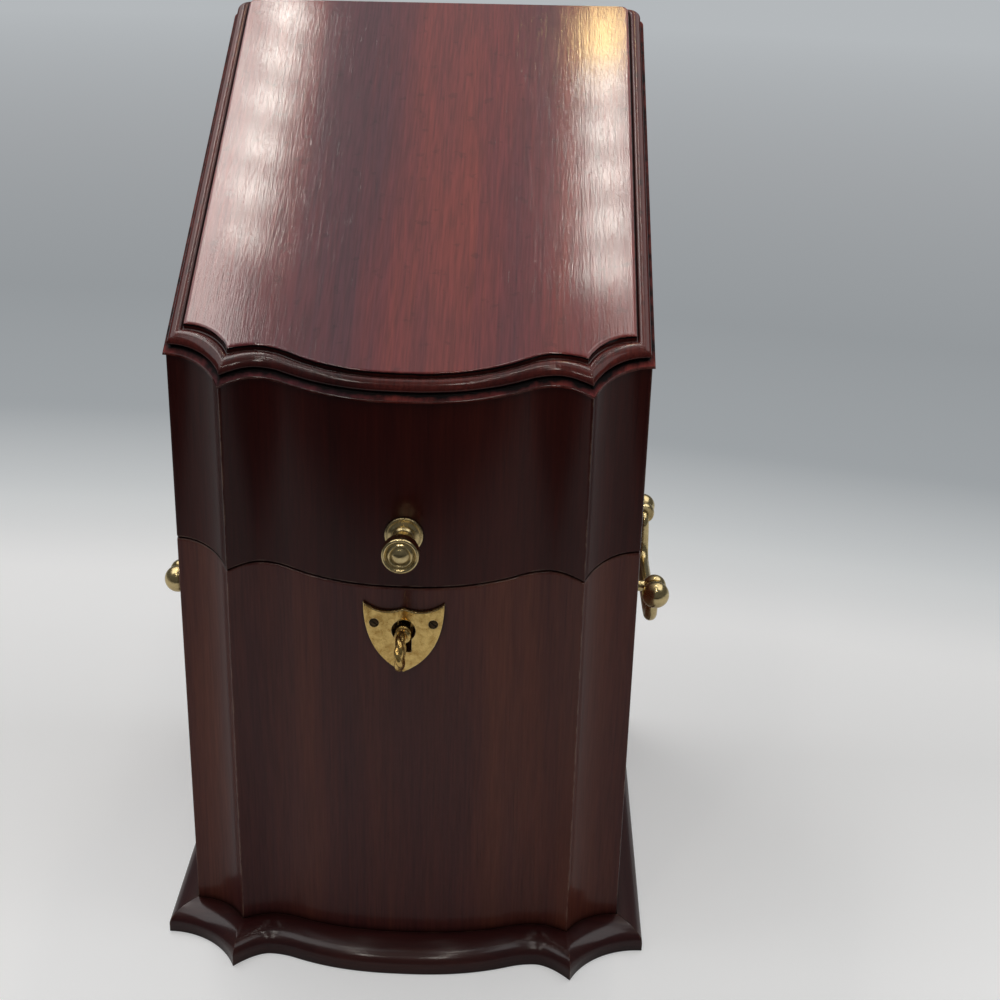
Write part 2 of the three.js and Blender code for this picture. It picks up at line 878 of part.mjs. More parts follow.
function makeKnobRose() {
  const rose = turned([
    [knobShankRadius + fitGap, 0],
    [roseRadius - roseThickness * 0.2, 0],
    [roseRadius, roseThickness * 0.25],
    [roseRadius, roseThickness * 0.5],
    [roseRadius - roseThickness * 0.7, roseThickness * 0.65],
    [knobNeckRadius + roseThickness * 0.5, roseThickness],
    [knobShankRadius + fitGap, roseThickness],
    [knobShankRadius + fitGap, 0],
  ]);
  rose.rotateX(Math.PI);
  rose.translate(0, carcaseLine.centreY - fitGap, knobHeight);
  return rose;
}

// The knob's outline: shares of the way out from its neck to its rim, and along from its seat to its face
const knobOutline = [
  [0.21, 0],
  [0.11, 0.05],
  [-0.05, 0.15],
  [0.03, 0.28],
  [0.32, 0.41],
  [0.63, 0.54],
  [0.92, 0.64],
  [1, 0.74],
  [1, 0.92],
  [0.87, 0.955],
  [0.68, 0.955],
  [0.55, 0.91],
  [0.37, 0.91],
  [0.26, 0.955],
  [0.08, 0.955],
  [-0.05, 0.915],
  [-0.21, 0.96],
  [-0.53, 0.99],
];

function makeKnob() {
  const seat = roseThickness + jointGap;
  const face = knobLength - fitGap;
  const outline = knobOutline.map(([out, along]) => [
    knobNeckRadius + (knobRadius - knobNeckRadius) * out,
    seat + (face - seat) * along,
  ]);
  const knob = turned([
    [0, -knobShankLength],
    [knobShankRadius, -knobShankLength],
    [knobShankRadius, seat],
    ...outline,
    [0, face],
  ], 24);
  knob.rotateX(Math.PI);
  knob.translate(0, carcaseLine.centreY - fitGap, knobHeight);
  return knob;
}

// Side handles; along and up are measured from the middle of the handle, out from the side

function handlePoint(side, along, up, out) {
  return new THREE.Vector3(side * (halfWidth + out), handleMiddle + along, handleHeight + up);
}

function alongSide(geometry, side, end, out) {
  geometry.rotateZ(-side * Math.PI / 2);
  const place = handlePoint(side, end * handleBore / 2, 0, out);
  geometry.translate(place.x, place.y, place.z);
  return geometry;
}

function postHole(side, end) {
  return alongSide(rod(postShankRadius + fitGap, sideThickness + 2), side, end, -sideThickness - 1);
}

function makePost(side, end) {
  const head = [];
  const steps = 6;
  for (let i = 0; i <= steps; i++) {
    const low = Math.asin(postStemRadius / postHeadRadius);
    const angle = -Math.PI / 2 + low + (Math.PI - low) * i / steps;
    head.push([postHeadRadius * Math.max(Math.cos(angle), 0), handleOut + postHeadRadius * Math.sin(angle)]);
  }
  head[steps] = [0, handleOut + postHeadRadius];
  const base = fitGap;
  const post = alongSide(turned([
    [0, -postShankLength],
    [postShankRadius, -postShankLength],
    [postShankRadius, base],
    [postRoseRadius, base],
    [postRoseRadius, base + postRoseThickness * 0.5],
    [postRoseRadius - postRoseThickness * 0.8, base + postRoseThickness],
    [postStemRadius * 1.25, base + postRoseThickness * 1.5],
    [postStemRadius, base + postRoseThickness * 2.5],
    ...head,
  ], 14), side, end, 0);
  const middle = handlePoint(side, end * handleBore / 2, 0, handleOut);
  const bore = rod(wireRadius + fitGap, 4 * postHeadRadius, 12);
  bore.translate(middle.x, middle.y - 2 * postHeadRadius, middle.z);
  const reach = postHeadRadius * 2;
  const flats = [-1, 1].map((face) => {
    const near = middle.y + face * postHeadHalf;
    const far = near + face * reach;
    return box(
      middle.x - postHeadRadius - 0.1,
      middle.x + postHeadRadius + 0.1,
      Math.min(near, far),
      Math.max(near, far),
      middle.z - reach,
      middle.z + reach,
    );
  });
  return cut(post, bore, ...flats);
}

function makeNut(side, end) {
  const bore = rod(postShankRadius + jointGap, nutThickness + 2);
  bore.translate(0, -1, 0);
  const nut = cut(rod(nutRadius, nutThickness, 6), bore);
  return alongSide(nut, side, end, -sideThickness - fitGap - nutThickness);
}

const ballMiddle = handleBore / 2 + postHeadHalf + fitGap + ballRadius - ballFlat;

function makeBall(side, end) {
  const ball = new THREE.SphereGeometry(ballRadius, 16, 12);
  const place = handlePoint(side, end * ballMiddle, 0, handleOut);
  ball.translate(place.x, place.y, place.z);
  const bore = rod(wireRadius + 2 * jointGap, 2 * ballRadius, 12);
  const start = end > 0 ? -2 * ballRadius : 0;
  bore.translate(place.x, place.y + start, place.z);
  const inner = end * (handleBore / 2 + postHeadHalf + fitGap);
  const face = handlePoint(side, inner, 0, handleOut);
  const trim = box(
    place.x - 2 * ballRadius,
    place.x + 2 * ballRadius,
    Math.min(face.y, face.y - end * ballRadius),
    Math.max(face.y, face.y - end * ballRadius),
    place.z - 2 * ballRadius,
    place.z + 2 * ballRadius,
  );
  return cut(ball, bore, trim);
}

// Straight runs between the points, with a rounded turn at each one in between.
function roundedPath(points, turns) {
  const path = new THREE.CurvePath();
  const toward = (corner, end, reach) => (
    end.clone().sub(corner).normalize().multiplyScalar(reach).add(corner)
  );
  let from = points[0];
  for (let i = 1; i + 1 < points.length; i++) {
    const before = toward(points[i], points[i - 1], turns[i - 1]);
    const after = toward(points[i], points[i + 1], turns[i - 1]);
    path.add(new THREE.LineCurve3(from, before));
    path.add(new THREE.QuadraticBezierCurve3(before, points[i], after));
    from = after;
  }
  path.add(new THREE.LineCurve3(from, points[points.length - 1]));
  return path;
}

// The bail hangs from the posts and swells from its necks to the middle of the grip.
function makeBail(side) {
  const neck = handleBore / 2 - neckInset;
  const half = [
    [ballMiddle, 0],
    [neck, 0],
    [neck, -bailDrop],
  ];
  const near = half.map(([along, up]) => handlePoint(side, -along, up, handleOut));
  const far = half.map(([along, up]) => handlePoint(side, along, up, handleOut)).reverse();
  const path = roundedPath([...near, ...far], [neckTurn, gripTurn, gripTurn, neckTurn]);
  const stations = 76;
  const around = 8;
  const frames = path.computeFrenetFrames(stations, false);
  const circle = [...Array(around).keys()].map((i) => {
    const angle = 2 * Math.PI * i / around;
    return new THREE.Vector2(Math.cos(angle), Math.sin(angle));
  });
  const straightShare = (ballMiddle - neck) / path.getLength();
  const loops = [...Array(stations + 1).keys()].map((s) => {
    const centre = path.getPointAt(s / stations);
    const share = (s / stations - straightShare) / (1 - 2 * straightShare);
    const swell = gripSwell * Math.sqrt(Math.sin(Math.PI * Math.min(Math.max(share, 0), 1)));
    const radius = wireRadius + swell;
    return circle.map((p) => centre.clone()
      .addScaledVector(frames.normals[s], radius * p.x)
      .addScaledVector(frames.binormals[s], radius * p.y));
  });
  return loft(loops, circle);
}

// Materials

function mahogany() {
  return new THREE.MeshStandardMaterial({ color: 0x3b1712, roughness: 0.32, metalness: 0 });
}

function insideWood() {
  return new THREE.MeshStandardMaterial({ color: 0x5c3320, roughness: 0.6, metalness: 0 });
}

function polishedBrass() {
  return new THREE.MeshStandardMaterial({ color: 0xb99a52, roughness: 0.25, metalness: 1 });
}

function agedBrass() {
  return new THREE.MeshStandardMaterial({ color: 0xa07a3a, roughness: 0.45, metalness: 1 });
}

function darkSteel() {
  return new THREE.MeshStandardMaterial({ color: 0x2c2622, roughness: 0.5, metalness: 1 });
}

// Assembly

const knifeBox = new THREE.Group();
knifeBox.name = 'knife_box';

function addPiece(name, geometry, material) {
  const flat = geometry.index ? geometry.toNonIndexed() : geometry;
  flat.computeVertexNormals();
  const mesh = new THREE.Mesh(flat, material);
  mesh.name = name;
  knifeBox.add(mesh);
}

const sides = [['left', -1], ['right', 1]];
const ends = [['front', -1], ['rear', 1]];

addPiece('carcase_front', makeCarcaseFront(), mahogany());
addPiece('carcase_back', makeCarcaseBack(), mahogany());
addPiece('carcase_bottom', makeCarcaseBottom(), mahogany());
addPiece('base_moulding_front', makeBaseFront(), mahogany());
addPiece('lid_top_board', makeLidTop(), mahogany());
addPiece('lid_front', makeLidFront(), mahogany());
addPiece('lid_back', makeLidBack(), mahogany());
addPiece('cutlery_board', makeCutleryBoard(), insideWood());
addPiece('lock_case', makeLockCase(), agedBrass());
addPiece('lock_cover', makeLockCover(), agedBrass());
addPiece('lock_bolt', makeBolt(), darkSteel());
addPiece('lid_catch_plate', makeCatchPlate(), agedBrass());
addPiece('shield_escutcheon', makeEscutcheon(), agedBrass());
addPiece('key', makeKey(), agedBrass());
addPiece('knob_rose', makeKnobRose(), polishedBrass());
addPiece('knob', makeKnob(), polishedBrass());

for (const [name, side] of sides) {
  addPiece(`carcase_side_${name}`, makeCarcaseSide(side), mahogany());
  addPiece(`base_moulding_${name}`, makeBaseSide(side), mahogany());
  addPiece(`lid_side_${name}`, makeLidSide(side), mahogany());
  addPiece(`board_rail_${name}`, makeRail(side), insideWood());
  addPiece(`escutcheon_screw_${name}`, makeShieldScrew(side), darkSteel());
  addPiece(`bail_${name}`, makeBail(side), polishedBrass());
  const hingeX = side * hingeSpacing / 2;
  addPiece(`hinge_body_leaf_${name}`, makeLeaf(hingeX, -1), agedBrass());
  addPiece(`hinge_lid_leaf_${name}`, makeLeaf(hingeX, 1), agedBrass());
  addPiece(`hinge_pin_${name}`, makeHingePin(hingeX), agedBrass());
  for (const [endName, end] of ends) {
    addPiece(`handle_post_${name}_${endName}`, makePost(side, end), polishedBrass());
    addPiece(`bail_ball_${name}_${endName}`, makeBall(side, end), polishedBrass());
    addPiece(`handle_nut_${name}_${endName}`, makeNut(side, end), agedBrass());
  }
}

// The finished box stands on the middle of its own footprint.
const extent = new THREE.Box3().setFromObject(knifeBox);
const middle = extent.getCenter(new THREE.Vector3());
for (const mesh of knifeBox.children) {
  mesh.geometry.translate(-middle.x, -middle.y, -extent.min.z);
}

export default knifeBox;
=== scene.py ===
import bmesh
import bpy
import json
import math
from mathutils import Matrix, Vector


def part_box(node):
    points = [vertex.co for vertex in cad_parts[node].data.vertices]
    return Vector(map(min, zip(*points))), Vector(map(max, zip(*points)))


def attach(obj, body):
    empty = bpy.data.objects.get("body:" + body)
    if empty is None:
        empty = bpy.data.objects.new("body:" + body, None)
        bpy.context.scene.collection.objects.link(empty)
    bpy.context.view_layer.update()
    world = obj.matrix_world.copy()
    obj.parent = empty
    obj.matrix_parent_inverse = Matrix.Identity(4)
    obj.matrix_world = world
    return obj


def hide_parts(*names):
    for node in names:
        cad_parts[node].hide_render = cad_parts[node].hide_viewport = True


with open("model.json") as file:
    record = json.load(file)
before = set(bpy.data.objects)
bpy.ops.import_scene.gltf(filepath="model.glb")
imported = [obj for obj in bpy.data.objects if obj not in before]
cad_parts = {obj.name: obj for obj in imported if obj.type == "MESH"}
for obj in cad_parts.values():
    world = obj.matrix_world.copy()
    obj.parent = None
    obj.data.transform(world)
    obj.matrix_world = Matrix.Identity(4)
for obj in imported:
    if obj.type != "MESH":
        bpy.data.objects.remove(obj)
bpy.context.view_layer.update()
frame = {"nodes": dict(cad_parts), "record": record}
nodes = frame["nodes"]
bodyOf = {node: body for body, members in frame["record"]["behaviour"]["bodies"].items() for node in members}
mm = 0.001
weld = 1e-6      # points closer than this, in metres, are one
print("frame loaded with", len(nodes), "nodes")

# plan of the box, in millimetres: y is 0 at the front corners of the carcase
boxPlan = {
    "frontThickness": 9.0,
    "seamHeight": 196.0,
    "lidSlope": 0.55,
    "lidWall": 82.0,
    "seamGap": 0.5,
    "pointShare": 0.76,      # the forward points, as a share of half the width
    "hollowShare": 0.62,     # the inner hollows
    "pointY": -14.5,
    "hollowY": -9.7,
    "bowDepth": 19.0,
    "outerTurn": math.radians(66),
    "pointPower": 1.7,
    "bowFullness": 2.4,
    "bowTurn": 0.8,
    "bowSteps": 40,
    "innerSteps": 12,
    "outerSteps": 20,
    "bitLength": 8.5,        # the key's bit, down from the middle of its shank
}
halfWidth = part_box("carcase_front")[1].x / mm
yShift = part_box("carcase_front")[1].y / mm - boxPlan["frontThickness"]
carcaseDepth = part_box("carcase_back")[1].y / mm - yShift
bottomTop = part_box("carcase_bottom")[1].z / mm
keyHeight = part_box("key")[0].z / mm + boxPlan["bitLength"]
knobHeight = (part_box("knob")[0].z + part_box("knob")[1].z) / 2 / mm
baseSpread = {"side": 11.3, "corner": 11.5, "point": 19.5, "aside": 1.6, "hollow": 14.6, "centre": 15.5}
fieldInset = {"side": 6.5, "corner": 6.5, "point": 9.8, "aside": 2.5, "hollow": 7.0, "centre": 5.0}


def atFrame(x, y, z):
    return Vector((x * mm, (y + yShift) * mm, z * mm))


def seamAt(y):
    return boxPlan["seamHeight"] + boxPlan["lidSlope"] * y


def planLine(spread=None, share=0.0):
    spread = spread or dict.fromkeys(baseSpread, 0.0)
    return {
        "cornerX": halfWidth + spread["side"] * share,
        "cornerY": -spread["corner"] * share,
        "pointX": halfWidth * boxPlan["pointShare"] + spread["aside"] * share,
        "pointY": boxPlan["pointY"] - spread["point"] * share,
        "hollowX": halfWidth * boxPlan["hollowShare"],
        "hollowY": boxPlan["hollowY"] - spread["hollow"] * share,
        "centreY": -boxPlan["bowDepth"] - spread["centre"] * share,
    }


def bowRise(t):
    full, turn = boxPlan["bowFullness"], boxPlan["bowTurn"]
    reverse = full * turn ** (full - 1) / (2 * (1 - turn))
    scale = 1 / (turn ** full + reverse * (1 - turn) ** 2)
    return scale * t ** full if t < turn else 1 - scale * reverse * (1 - t) ** 2


def bowAt(line, x):
    return line["centreY"] + (line["hollowY"] - line["centreY"]) * bowRise(abs(x) / line["hollowX"])


def frontCurve(line):
    half = []
    steps = boxPlan["bowSteps"]
    for i in range(steps + 1):
        x = line["hollowX"] * i / steps
        half.append((x, bowAt(line, x)))
    steps = boxPlan["innerSteps"]
    for i in range(1, steps + 1):
        t = i / steps
        x = line["hollowX"] + (line["pointX"] - line["hollowX"]) * t
        half.append((x, line["hollowY"] + (line["pointY"] - line["hollowY"]) * t ** boxPlan["pointPower"]))
    steps, turn = boxPlan["outerSteps"], boxPlan["outerTurn"]
    for i in range(steps - 1, -1, -1):
        angle = turn * i / steps
        x = line["cornerX"] - (line["cornerX"] - line["pointX"]) * math.sin(angle) / math.sin(turn)
        drop = (1 - math.cos(angle)) / (1 - math.cos(turn))
        half.append((x, line["cornerY"] + (line["pointY"] - line["cornerY"]) * drop))
    return [(-x, y) for x, y in reversed(half[1:])] + half


def frontOutline(line, backY):
    return frontCurve(line) + [(line["cornerX"], backY), (-line["cornerX"], backY)]


def roundedBack(line, backY, radius, steps=6):
    outline = frontCurve(line)
    for side, start in ((1, 0), (-1, math.pi / 2)):
        for i in range(steps + 1):
            angle = start + i * math.pi / 2 / steps
            x = side * (line["cornerX"] - radius) + radius * math.cos(angle)
            outline.append((x, backY - radius + radius * math.sin(angle)))
    return outline


# mesh tools
easing = {"fromAngle": 35, "segments": 2, "profile": 0.6, "flatAngle": 0.6}


def cleaned(bm):
    bmesh.ops.remove_doubles(bm, verts=bm.verts, dist=weld)
    bmesh.ops.recalc_face_normals(bm, faces=bm.faces)
    return bm


def linked(bm, name):
    mesh = bpy.data.meshes.new(name)
    bm.to_mesh(mesh)
    bm.free()
    piece = bpy.data.objects.new(name, mesh)
    bpy.context.scene.collection.objects.link(piece)
    return piece


def baked(piece):
    mesh = bpy.data.meshes.new_from_object(piece.evaluated_get(bpy.context.evaluated_depsgraph_get()))
    piece.modifiers.clear()
    piece.data = mesh
    return piece


def smoothed(piece, sharpAngle):
    # large faces keep their own normal beside an eased edge
    for polygon in piece.data.polygons:
        polygon.use_smooth = True
    piece.data.set_sharp_from_angle(angle=math.radians(sharpAngle))
    weighted = piece.modifiers.new("weighted", "WEIGHTED_NORMAL")
    weighted.keep_sharp = True
    return baked(piece)


def shaded(bm, name, sharpAngle=32, cutters=()):
    piece = linked(cleaned(bm), name)
    for tool in cutters:
        step = piece.modifiers.new("cut", "BOOLEAN")
        step.object, step.operation, step.solver = tool, "DIFFERENCE", "EXACT"
    baked(piece)
    for tool in cutters:
        bpy.data.objects.remove(tool)
    return smoothed(piece, sharpAngle)


def ringsMesh(rings, closeLoop=False):
    bm = bmesh.new()
    rows = [[bm.verts.new(point) for point in ring] for ring in rings]
    pairs = list(zip(rows, rows[1:])) + ([(rows[-1], rows[0])] if closeLoop else [])
    for low, high in pairs:
        for i in range(len(low)):
            j = (i + 1) % len(low)
            bm.faces.new((low[i], low[j], high[j], high[i]))
    if not closeLoop:
        bm.faces.new(list(reversed(rows[0])))
        bm.faces.new(rows[-1])
    return bm


def softened(bm, width):
    # sharp edges eased by the width, in millimetres
    cleaned(bm)
    sharp = math.radians(easing["fromAngle"])
    edges = [e for e in bm.edges if len(e.link_faces) == 2 and e.calc_face_angle(0) > sharp]
    bmesh.ops.bevel(bm, geom=edges, offset=width * mm, segments=easing["segments"], profile=easing["profile"],
                    affect="EDGES", clamp_overlap=True)
    return bm


def wallMesh(outline, bottomAt, topAt):
    return ringsMesh([
        [atFrame(x, y, bottomAt(y)) for x, y in outline],
        [atFrame(x, y, topAt(y)) for x, y in outline],
    ])


def circleAt(centre, side, other, radius, around):
    turns = [2 * math.pi * i / around for i in range(around)]
    return [centre + (side * math.cos(turn) + other * math.sin(turn)) * radius * mm for turn in turns]


def turnedMesh(profile, place, axis, around=48):
    # profile: (radius, distance along the axis) in millimetres, from place outward
    axis = Vector(axis).normalized()
    side = axis.orthogonal().normalized()
    other = axis.cross(side)
    least = 1e-3      # a ring of no width would fold its end cap
    return ringsMesh([
        circleAt(place + axis * along * mm, side, other, max(radius, least), around) for radius, along in profile
    ])


def addTo(bm, other):
    spare = bpy.data.meshes.new("spare")
    other.to_mesh(spare)
    other.free()
    bm.from_mesh(spare)
    bpy.data.meshes.remove(spare)


def cutter(bm):
    bmesh.ops.recalc_face_normals(bm, faces=bm.faces)
    return linked(bm, "cutter")


def boxCutter(x0, x1, y0, y1, bottomAt, topAt):
    return cutter(wallMesh([(x0, y0), (x1, y0), (x1, y1), (x0, y1)], bottomAt, topAt))


def placed(piece, material, node, hides):
    # body is that of the imported node; hides names the nodes that the piece is shown for
    piece.data.materials.clear()
    piece.data.materials.append(material)
    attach(piece, bodyOf[node])
    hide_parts(*hides)
    return piece


def packedMesh(node):
    bm = bmesh.new()
    bm.from_mesh(nodes[node].data)
    bmesh.ops.remove_doubles(bm, verts=bm.verts, dist=2 * weld)
    return bm


def softCopy(node, name, material, width):
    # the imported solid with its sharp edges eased
    bm = packedMesh(node)
    flat = math.radians(easing["flatAngle"])
    bmesh.ops.dissolve_limit(bm, angle_limit=flat, verts=bm.verts, edges=bm.edges)
    return placed(shaded(softened(bm, width), name), material, node, (node,))


# node tools

def newMaterial(name):
    material = bpy.data.materials.new(name)
    material.use_nodes = True
    tree = material.node_tree
    return material, tree, tree.nodes["Principled BSDF"]


def addNode(tree, kind, inputs=None, **settings):
    node = tree.nodes.new(kind)
    for key, value in settings.items():
        setattr(node, key, value)
    for key, value in (inputs or {}).items():
        if isinstance(value, bpy.types.NodeSocket):
            tree.links.new(value, node.inputs[key])
        else:
            node.inputs[key].default_value = value
    return node


def noiseOn(tree, vector, scale, detail=3.0, roughness=0.55, distortion=0.0):
    return addNode(tree, "ShaderNodeTexNoise", {
        "Vector": vector, "Scale": scale, "Detail": detail, "Roughness": roughness, "Distortion": distortion,
    }).outputs["Fac"]


def ranged(tree, value, low, high, toLow=0.0, toHigh=1.0):
    return addNode(tree, "ShaderNodeMapRange", {
        "Value": value, "From Min": low, "From Max": high, "To Min": toLow, "To Max": toHigh,
    }).outputs["Result"]


def mixed(tree, factor, first, second, blend="MIX"):
    node = addNode(tree, "ShaderNodeMix", data_type="RGBA", blend_type=blend)
    for socket, value in ((node.inputs[0], factor), (node.inputs[6], first), (node.inputs[7], second)):
        if isinstance(value, bpy.types.NodeSocket):
            tree.links.new(value, socket)
        else:
            socket.default_value = (*value, 1.0) if hasattr(value, "__len__") else value
    return node.outputs[2]


def calculated(tree, operation, first, second):
    node = addNode(tree, "ShaderNodeMath", operation=operation)
    for socket, value in zip(node.inputs, (first, second)):
        if isinstance(value, bpy.types.NodeSocket):
            tree.links.new(value, socket)
        else:
            socket.default_value = value
    return node.outputs[0]


def times(tree, first, second):
    return calculated(tree, "MULTIPLY", first, second)


def plus(tree, first, second):
    return calculated(tree, "ADD", first, second)


def rampOn(tree, factor, stops):
    node = addNode(tree, "ShaderNodeValToRGB", {"Fac": factor})
    elements = node.color_ramp.elements
    while len(elements) < len(stops):
        elements.new(0.5)
    for element, (position, colour) in zip(elements, stops):
        element.position, element.color = position, (*colour, 1.0)
    return node.outputs["Color"]


def dotOf(tree, first, second):
    node = addNode(tree, "ShaderNodeVectorMath", {0: first, 1: second}, operation="DOT_PRODUCT")
    return node.outputs["Value"]


def edgeMask(tree, radius, flat=0.985, sharp=0.88):
    # 1 on arrises, 0 on open faces
    bevel = addNode(tree, "ShaderNodeBevel", {"Radius": radius * mm}, samples=4)
    normal = addNode(tree, "ShaderNodeNewGeometry").outputs["Normal"]
    return ranged(tree, dotOf(tree, bevel.outputs[0], normal), flat, sharp)


def openness(tree, reach):
    # 1 on open faces, lower in corners
    return addNode(tree, "ShaderNodeAmbientOcclusion", {"Distance": reach * mm}, samples=6).outputs["AO"]


def bumpOn(tree, height, strength, depth, normal=None):
    inputs = {"Strength": strength, "Distance": depth * mm, "Height": height}
    if normal is not None:
        inputs["Normal"] = normal
    return addNode(tree, "ShaderNodeBump", inputs).outputs[0]


def shaderSet(shader, values):
    for name, value in values.items():
        shader.inputs[name].default_value = value


# wood finishes; grain is the axis that the fibres follow: 0 across, 1 from front to back, 2 upright
boardPolish = {
    "grain": 2, "wearShare": 0.65, "roughness": (0.30, 0.42), "coatRoughness": 0.13, "grainDepth": 0.14,
    "filled": 0.3, "peel": 0.12, "specular": 0.15, "grainTone": 0.15, "grainScale": 1000.0,
}
mouldingPolish = {
    **boardPolish, "dark": (0.028, 0.005, 0.006), "middle": (0.043, 0.008, 0.008), "light": (0.066, 0.015, 0.011),
    "wear": (0.28, 0.15, 0.10), "wearShare": 0.45, "coat": 0.72, "coatRoughness": 0.15, "peel": 0.08,
    "grainTone": 0.12,
}
lidPolish = {
    "grain": 1, "sloping": True, "stains": ((1.2, 3.2), (6.2, 6.95)),
    "dark": (0.105, 0.024, 0.036), "middle": (0.190, 0.029, 0.032), "light": (0.270, 0.042, 0.031),
    "wear": (0.42, 0.26, 0.21), "wearShare": 0.55, "roughness": (0.075, 0.105), "coat": 0.8, "coatRoughness": 0.11,
    "grainDepth": 0.07, "filled": 0.5, "peel": 0.10, "specular": 0.30, "grainTone": 0.26, "grainScale": 900.0,
}
woodLooks = {
    "lidTop": lidPolish,
    "lidFront": {
        **boardPolish, "dark": (0.031, 0.003, 0.0025), "middle": (0.050, 0.0047, 0.0033),
        "light": (0.075, 0.009, 0.005), "wear": (0.40, 0.25, 0.17), "coat": 0.38,
    },
    "upright": {
        **boardPolish, "dark": (0.070, 0.019, 0.021), "middle": (0.115, 0.029, 0.023),
        "light": (0.170, 0.045, 0.026), "wear": (0.42, 0.27, 0.18), "coat": 0.45,
    },
    "mouldingAcross": {**mouldingPolish, "grain": 0},
    "mouldingAlong": {**mouldingPolish, "grain": 1},
    "inside": {
        "grain": 1, "sloping": True, "dark": (0.115, 0.042, 0.022), "middle": (0.165, 0.066, 0.035),
        "light": (0.225, 0.100, 0.055), "wear": (0.34, 0.18, 0.10), "wearShare": 0.3, "roughness": (0.48, 0.62),
        "coat": 0.15, "coatRoughness": 0.3, "grainDepth": 0.3, "filled": 0.6, "peel": 0.1, "specular": 0.15,
        "grainTone": 0.18, "grainScale": 1000.0,
    },
    "lidEdge": {
        **lidPolish, "dark": (0.036, 0.005, 0.005), "middle": (0.078, 0.011, 0.009), "light": (0.140, 0.022, 0.016),
        "roughness": (0.22, 0.32), "peel": 0.06, "wearShare": 0.3, "coat": 0.5, "specular": 0.15,
    },
    "lidCove": {**lidPolish, "roughness": (0.5, 0.6), "coat": 0.1, "coatRoughness": 0.4, "specular": 0.05},
}

# patterns in the wood: stretch along the grain, then scale, detail, roughness and distortion of the noise
woodPatterns = {
    "bands": (0.04, 30.0, 3.0, 0.5, 0.10),       # broad soft stripes of the board
    "streaks": (0.03, 420.0, 4.0, 0.6, 0.15),    # grain lines
    "clouds": (0.16, 34.0, 3.0, 0.5, 0.2),       # cloudy figure
    "pores": (0.02, 1700.0, 2.0, 0.6),           # small dark pores
    "smear": (0.3, 34.0, 4.0, 0.6),              # where the polish is duller
    "ripple": (0.4, 60.0, 2.0),                  # slow waves of the polish
    "peel": (0.07, 1700.0, 2.0, 0.5),            # fine texture of the polish
}

# how the patterns mix: spans say where a pattern starts and is full, shares and tones how strong it is
woodMix = {
    "bandShare": 0.76, "stops": (0.36, 0.50, 0.64), "poreSpan": (0.60, 0.72), "poreShare": 0.30, "poreTone": 0.5,
    "cloudSpan": (0.42, 0.72), "cloudShare": 0.55, "fineStretch": 0.05, "fineDetail": (2.0, 0.6),
    "evenSpan": (0.3, 0.7), "arris": 0.9, "rubScale": 160.0, "rubSpan": (0.42, 0.62), "hollowReach": 5.0,
    "hollowSpan": (0.85, 0.40), "hollowShare": 0.95, "hollowTone": 0.12, "stainTone": 0.05, "ridge": 0.8,
    "coatWave": (0.10, 0.25), "peelDepth": 0.16, "grainDepth": 0.12, "ior": 1.48,
}
# how the painted shade bands waver and fade at their edges
shadeBandEdge = {"scale": 150.0, "waver": 0.25, "soft": 0.2}


def shadeBandBetween(tree, place, low, high):
    # painted shade: near-black bands on the lid's edge, in the cove under the bead and on the riser below the field,
    # by height over the underside of the top board
    slope = boxPlan["lidSlope"]
    underside = (boxPlan["seamHeight"] + boxPlan["lidWall"] - slope * yShift) * mm
    soft, waver = shadeBandEdge["soft"], shadeBandEdge["waver"] * mm
    uneven = ranged(tree, noiseOn(tree, place, shadeBandEdge["scale"]), *woodMix["evenSpan"], -waver, waver)
    over = plus(tree, dotOf(tree, place, (0, -slope, 1)), uneven)
    rise = ranged(tree, over, underside + (low - soft) * mm, underside + (low + soft) * mm)
    fall = ranged(tree, over, underside + (high + soft) * mm, underside + (high - soft) * mm)
    return times(tree, rise, fall)


